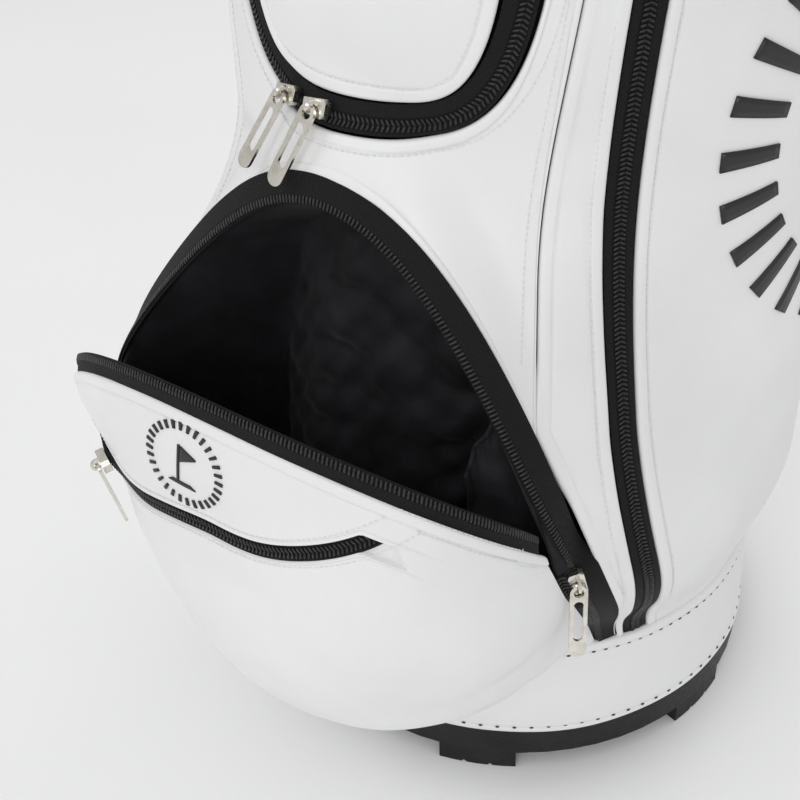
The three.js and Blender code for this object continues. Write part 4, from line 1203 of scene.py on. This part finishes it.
for middle, word in ((0, "front"), (180, "back")):
    start = BODY_TOP_R + 2.8
    corners = [polar(middle + s * HANDLE_ANGLE, start + r * HANDLE_REACH, HANDLE_Z) for s, r in HANDLE_CORNERS]
    line = smooth_line(corners, 260)
    side = unit(np.cross(frames(line), UP))
    share = np.linspace(0, 1, len(line))
    grip = smooth(0.17, 0.24, share) * (1 - smooth(0.76, 0.83, share))
    ribs = 0.45 * np.cos(share * 2 * math.pi * 38) * grip
    groove = 0.6 * np.exp(-(((np.abs(share - 0.5) - 0.31) / 0.008) ** 2))
    radius = HANDLE_R - 0.9 + 0.9 * grip + ribs - groove
    turn = around(24)[None, :, None]
    ring = np.cos(turn) * side[:, None] + np.sin(turn) * UP
    p = line[:, None] + ring * radius[:, None, None]
    faces = tube_faces(len(line), 24)
    piece(f"handle_grip_{word}", p.reshape(-1, 3), faces, GRIP, "shell", [f"handle_{word}"])
    ends = []
    for end in (-0.5, 0.5):
        angle = middle + end * HANDLE_ANGLE
        across, out = directions(angle)
        s, t = np.meshgrid(np.linspace(-1, 1, 15), np.linspace(-1, 1, 21))
        dome = 2.6 * np.sqrt(np.maximum(0, 1 - np.maximum(np.abs(s), np.abs(t)) ** 6))
        front = polar(angle, start - 2.0, HANDLE_Z) + across * (s * 12)[..., None]
        front = front + UP * (t * 17)[..., None] + out * (dome + 0.2 - (s * 12) ** 2 / 290)[..., None]
        ends.append(shell(front, front - out * 3.0))
    piece(f"handle_pads_{word}", *merged(ends), GRIP)

# ---- towel ring

TOWEL_ANGLE, TOWEL_R, TOWEL_Z, BAR = -100.0, 24.0, 800.0, 2.2
towel_out = float(surface(TOWEL_ANGLE, TOWEL_Z - 2 * TOWEL_R)) + 6
centre = polar(TOWEL_ANGLE, towel_out, TOWEL_Z - TOWEL_R)
side, out = directions(TOWEL_ANGLE)
turn = around(120)[:, None]
spoke = np.cos(turn) * side + np.sin(turn) * UP
out = np.tile(out, (120, 1))
round_bar = [(BAR * math.cos(a), BAR * math.sin(a)) for a in around(16)]
made = strip(centre + spoke * TOWEL_R, spoke, out, round_bar, loop=True)
piece("towel_ring_bar", *made[:2], NICKEL, "towel_ring_body", ["towel_ring"])

# ---- shoulder strap

STRAP_LINE = BODY_R + 6
HOOK_END = STRAP_LINE + 26 - 7 + 28
STRAP_TOP, STRAP_BOTTOM, STRAP_BOW = 838.0, 430.0, 95.0
STRAP = [
    (0, HOOK_END, STRAP_TOP - 4),
    (0, HOOK_END + STRAP_BOW * 0.6, STRAP_TOP - 110),
    (0, HOOK_END + STRAP_BOW * 0.6, STRAP_BOTTOM + 110),
    (0, HOOK_END, STRAP_BOTTOM + 4),
]
strap_line = bezier(STRAP, np.linspace(0, 1, 2000))
strap_length = lengths(strap_line)


def strap_part(first, last, count):
    goal = np.linspace(first, last, count) * strap_length[-1]
    points = np.stack([np.interp(goal, strap_length, strap_line[:, i]) for i in range(3)], -1)
    side = np.tile(np.array([1.0, 0, 0]), (count, 1))
    out = unit(np.cross(frames(points), side))
    return points, side, out


WEB_HALF = [(15.8, 0.95), (16.5, 1.2), (18.2, 0.9), (19, -1.0), (16.5, -1.2)]
WEB = WEB_HALF + [(-x, z) for x, z in WEB_HALF[::-1]]
for first, last, word in ((0.0, 0.21, "top"), (0.72, 1.0, "bottom")):
    made = strip(*strap_part(first, last, 90), WEB)
    piece(f"strap_webbing_{word}", *made[:2], WEBBING, "shoulder_strap", [f"strap_web_{word}"], made[2])


def strap_padding():
    """The padded part of the strap: puffed up by a short cloth run, then sewn down the middle."""
    points, side, out = strap_part(0.207, 0.718, 60)
    share = np.linspace(-1, 1, 60)
    ends = np.sqrt(np.maximum(0.02, 1 - np.maximum(0, (np.abs(share) - 0.86) / 0.14) ** 2))
    width = 33 * (0.62 + 0.38 * ends)
    turn = around(28)
    flat = np.sign(np.cos(turn)) * np.abs(np.cos(turn)) ** 0.55
    deep = np.sign(np.sin(turn)) * np.abs(np.sin(turn)) ** 0.8
    p = points[:, None] + side[:, None] * (width[:, None] * flat)[..., None]
    p = p + out[:, None] * (5.0 * ends[:, None] * deep)[..., None]
    obj = piece("strap_padding", p.reshape(-1, 3), tube_faces(60, 28), WHITE, None, ["strap_pad"])
    puffed(obj, 0.0045, 4.0, 0.005)
    form = bmesh.new()
    form.from_mesh(obj.data)
    line = world(points)
    for v in form.verts:
        near = np.argmin(((line - np.array(v.co)) ** 2).sum(1))
        across = abs(v.co.x - AXIS[0]) * 1000
        depth = float(np.dot(np.array(v.co) - line[near], out[near])) * 1000
        pull = 3.2 * math.exp(-(((across - 13) / 2.2) ** 2)) * min(1, abs(depth) / 3)
        v.co -= Vector(out[near] * math.copysign(min(pull, abs(depth) * 0.6), depth) * 0.001)
    form.to_mesh(obj.data)
    form.free()
    obj.data.shade_smooth()
    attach(obj, "shoulder_strap")
    rows = [(points + side * x + out * way * 4.4, side, out * way) for x in (-13, 13) for way in (1, -1)]
    sewn("strap_stitching", rows, pitch=4.2, length=3.0, radius=0.4, body="shoulder_strap")


def puffed(obj, voxel, pressure, cap):
    """Remeshes a closed form, blows it up a little as cloth and keeps the result."""
    scene = bpy.context.scene
    remesh = obj.modifiers.new("remesh", "REMESH")
    remesh.mode, remesh.voxel_size = "VOXEL", voxel
    depsgraph = bpy.context.evaluated_depsgraph_get()
    start = bpy.data.meshes.new_from_object(obj.evaluated_get(depsgraph))
    obj.modifiers.clear()
    materials = list(obj.data.materials)
    obj.data = start
    start.materials.clear()
    for material in materials:
        start.materials.append(material)
    rest = np.array([v.co for v in start.vertices])
    cloth_run = obj.modifiers.new("cloth", "CLOTH")
    settings = cloth_run.settings
    settings.quality = 6
    settings.use_pressure = True
    settings.uniform_pressure_force = pressure
    settings.effector_weights.gravity = 0.0
    settings.tension_stiffness = settings.compression_stiffness = 25
    settings.bending_stiffness = 2.0
    cloth_run.point_cache.frame_start, cloth_run.point_cache.frame_end = 1, 20
    for step in range(1, 21):
        scene.frame_set(step)
    depsgraph = bpy.context.evaluated_depsgraph_get()
    moved = bpy.data.meshes.new_from_object(obj.evaluated_get(depsgraph))
    obj.modifiers.clear()
    shift = np.array([v.co for v in moved.vertices]) - rest
    size = np.linalg.norm(shift, axis=1, keepdims=True)
    shift *= np.minimum(1, cap / np.maximum(size, 1e-9))
    start.vertices.foreach_set("co", (rest + shift).ravel())
    scene.frame_set(1)
    levels = obj.modifiers.new("smooth", "SUBSURF")
    levels.levels = levels.render_levels = 1
    depsgraph = bpy.context.evaluated_depsgraph_get()
    obj.data = bpy.data.meshes.new_from_object(obj.evaluated_get(depsgraph))
    obj.modifiers.clear()


strap_padding()

# ---- camera, floor and light

camera_data = bpy.data.cameras.new("camera")
camera_data.lens = 63.0
camera_data.sensor_width = 36.0
camera_data.clip_start, camera_data.clip_end = 0.05, 50
camera = add("camera", camera_data)
axes = (0.7905, 0.6118, -0.0268), (-0.3368, 0.4709, 0.8154), (0.5115, -0.6356, 0.5783)
place = Matrix.Translation(world([387.5, -596.7, 669.8]))
camera.matrix_world = place @ Matrix(axes).transposed().to_4x4()
bpy.context.scene.camera = camera

floor_mesh = bpy.data.meshes.new("floor")
floor_mesh.from_pydata([(-6, -6, 0), (6, -6, 0), (6, 6, 0), (-6, 6, 0)], [], [(0, 1, 2, 3)])
floor = add("floor", floor_mesh)
paper = Shader("floor_paper", (0.94, 0.94, 0.94), 0.9)
floor_mesh.materials.append(paper.finish(paper.ramp(paper.noise(3), 0.975, 0.99)))
floor.location.z = -0.0005

world_light = bpy.data.worlds.new("studio")
world_light.use_nodes = True
world_light.node_tree.nodes["Background"].inputs["Color"].default_value = (0.995, 0.997, 1.0, 1)
world_light.node_tree.nodes["Background"].inputs["Strength"].default_value = 0.64
bpy.context.scene.world = world_light
bpy.context.scene.view_settings.view_transform = "Standard"


def softbox(name, place, target, size, power):
    data = bpy.data.lights.new(name, "AREA")
    data.shape, data.size, data.size_y, data.energy = "RECTANGLE", *size, power
    light = add(name, data)
    direction = Vector(target) - Vector(place)
    light.location = place
    light.rotation_euler = direction.to_track_quat("-Z", "Y").to_euler()


softbox("key_left", (-1.5, -1.9, 2.2), (0, 0, 0.3), (1.1, 1.1), 12)
softbox("fill_front", (1.0, -2.1, 1.7), (0, 0, 0.4), (1.5, 1.0), 14)
softbox("rim_back", (0.3, 2.2, 2.0), (0, 0, 0.5), (2.0, 1.2), 10)

bpy.context.view_layer.update()
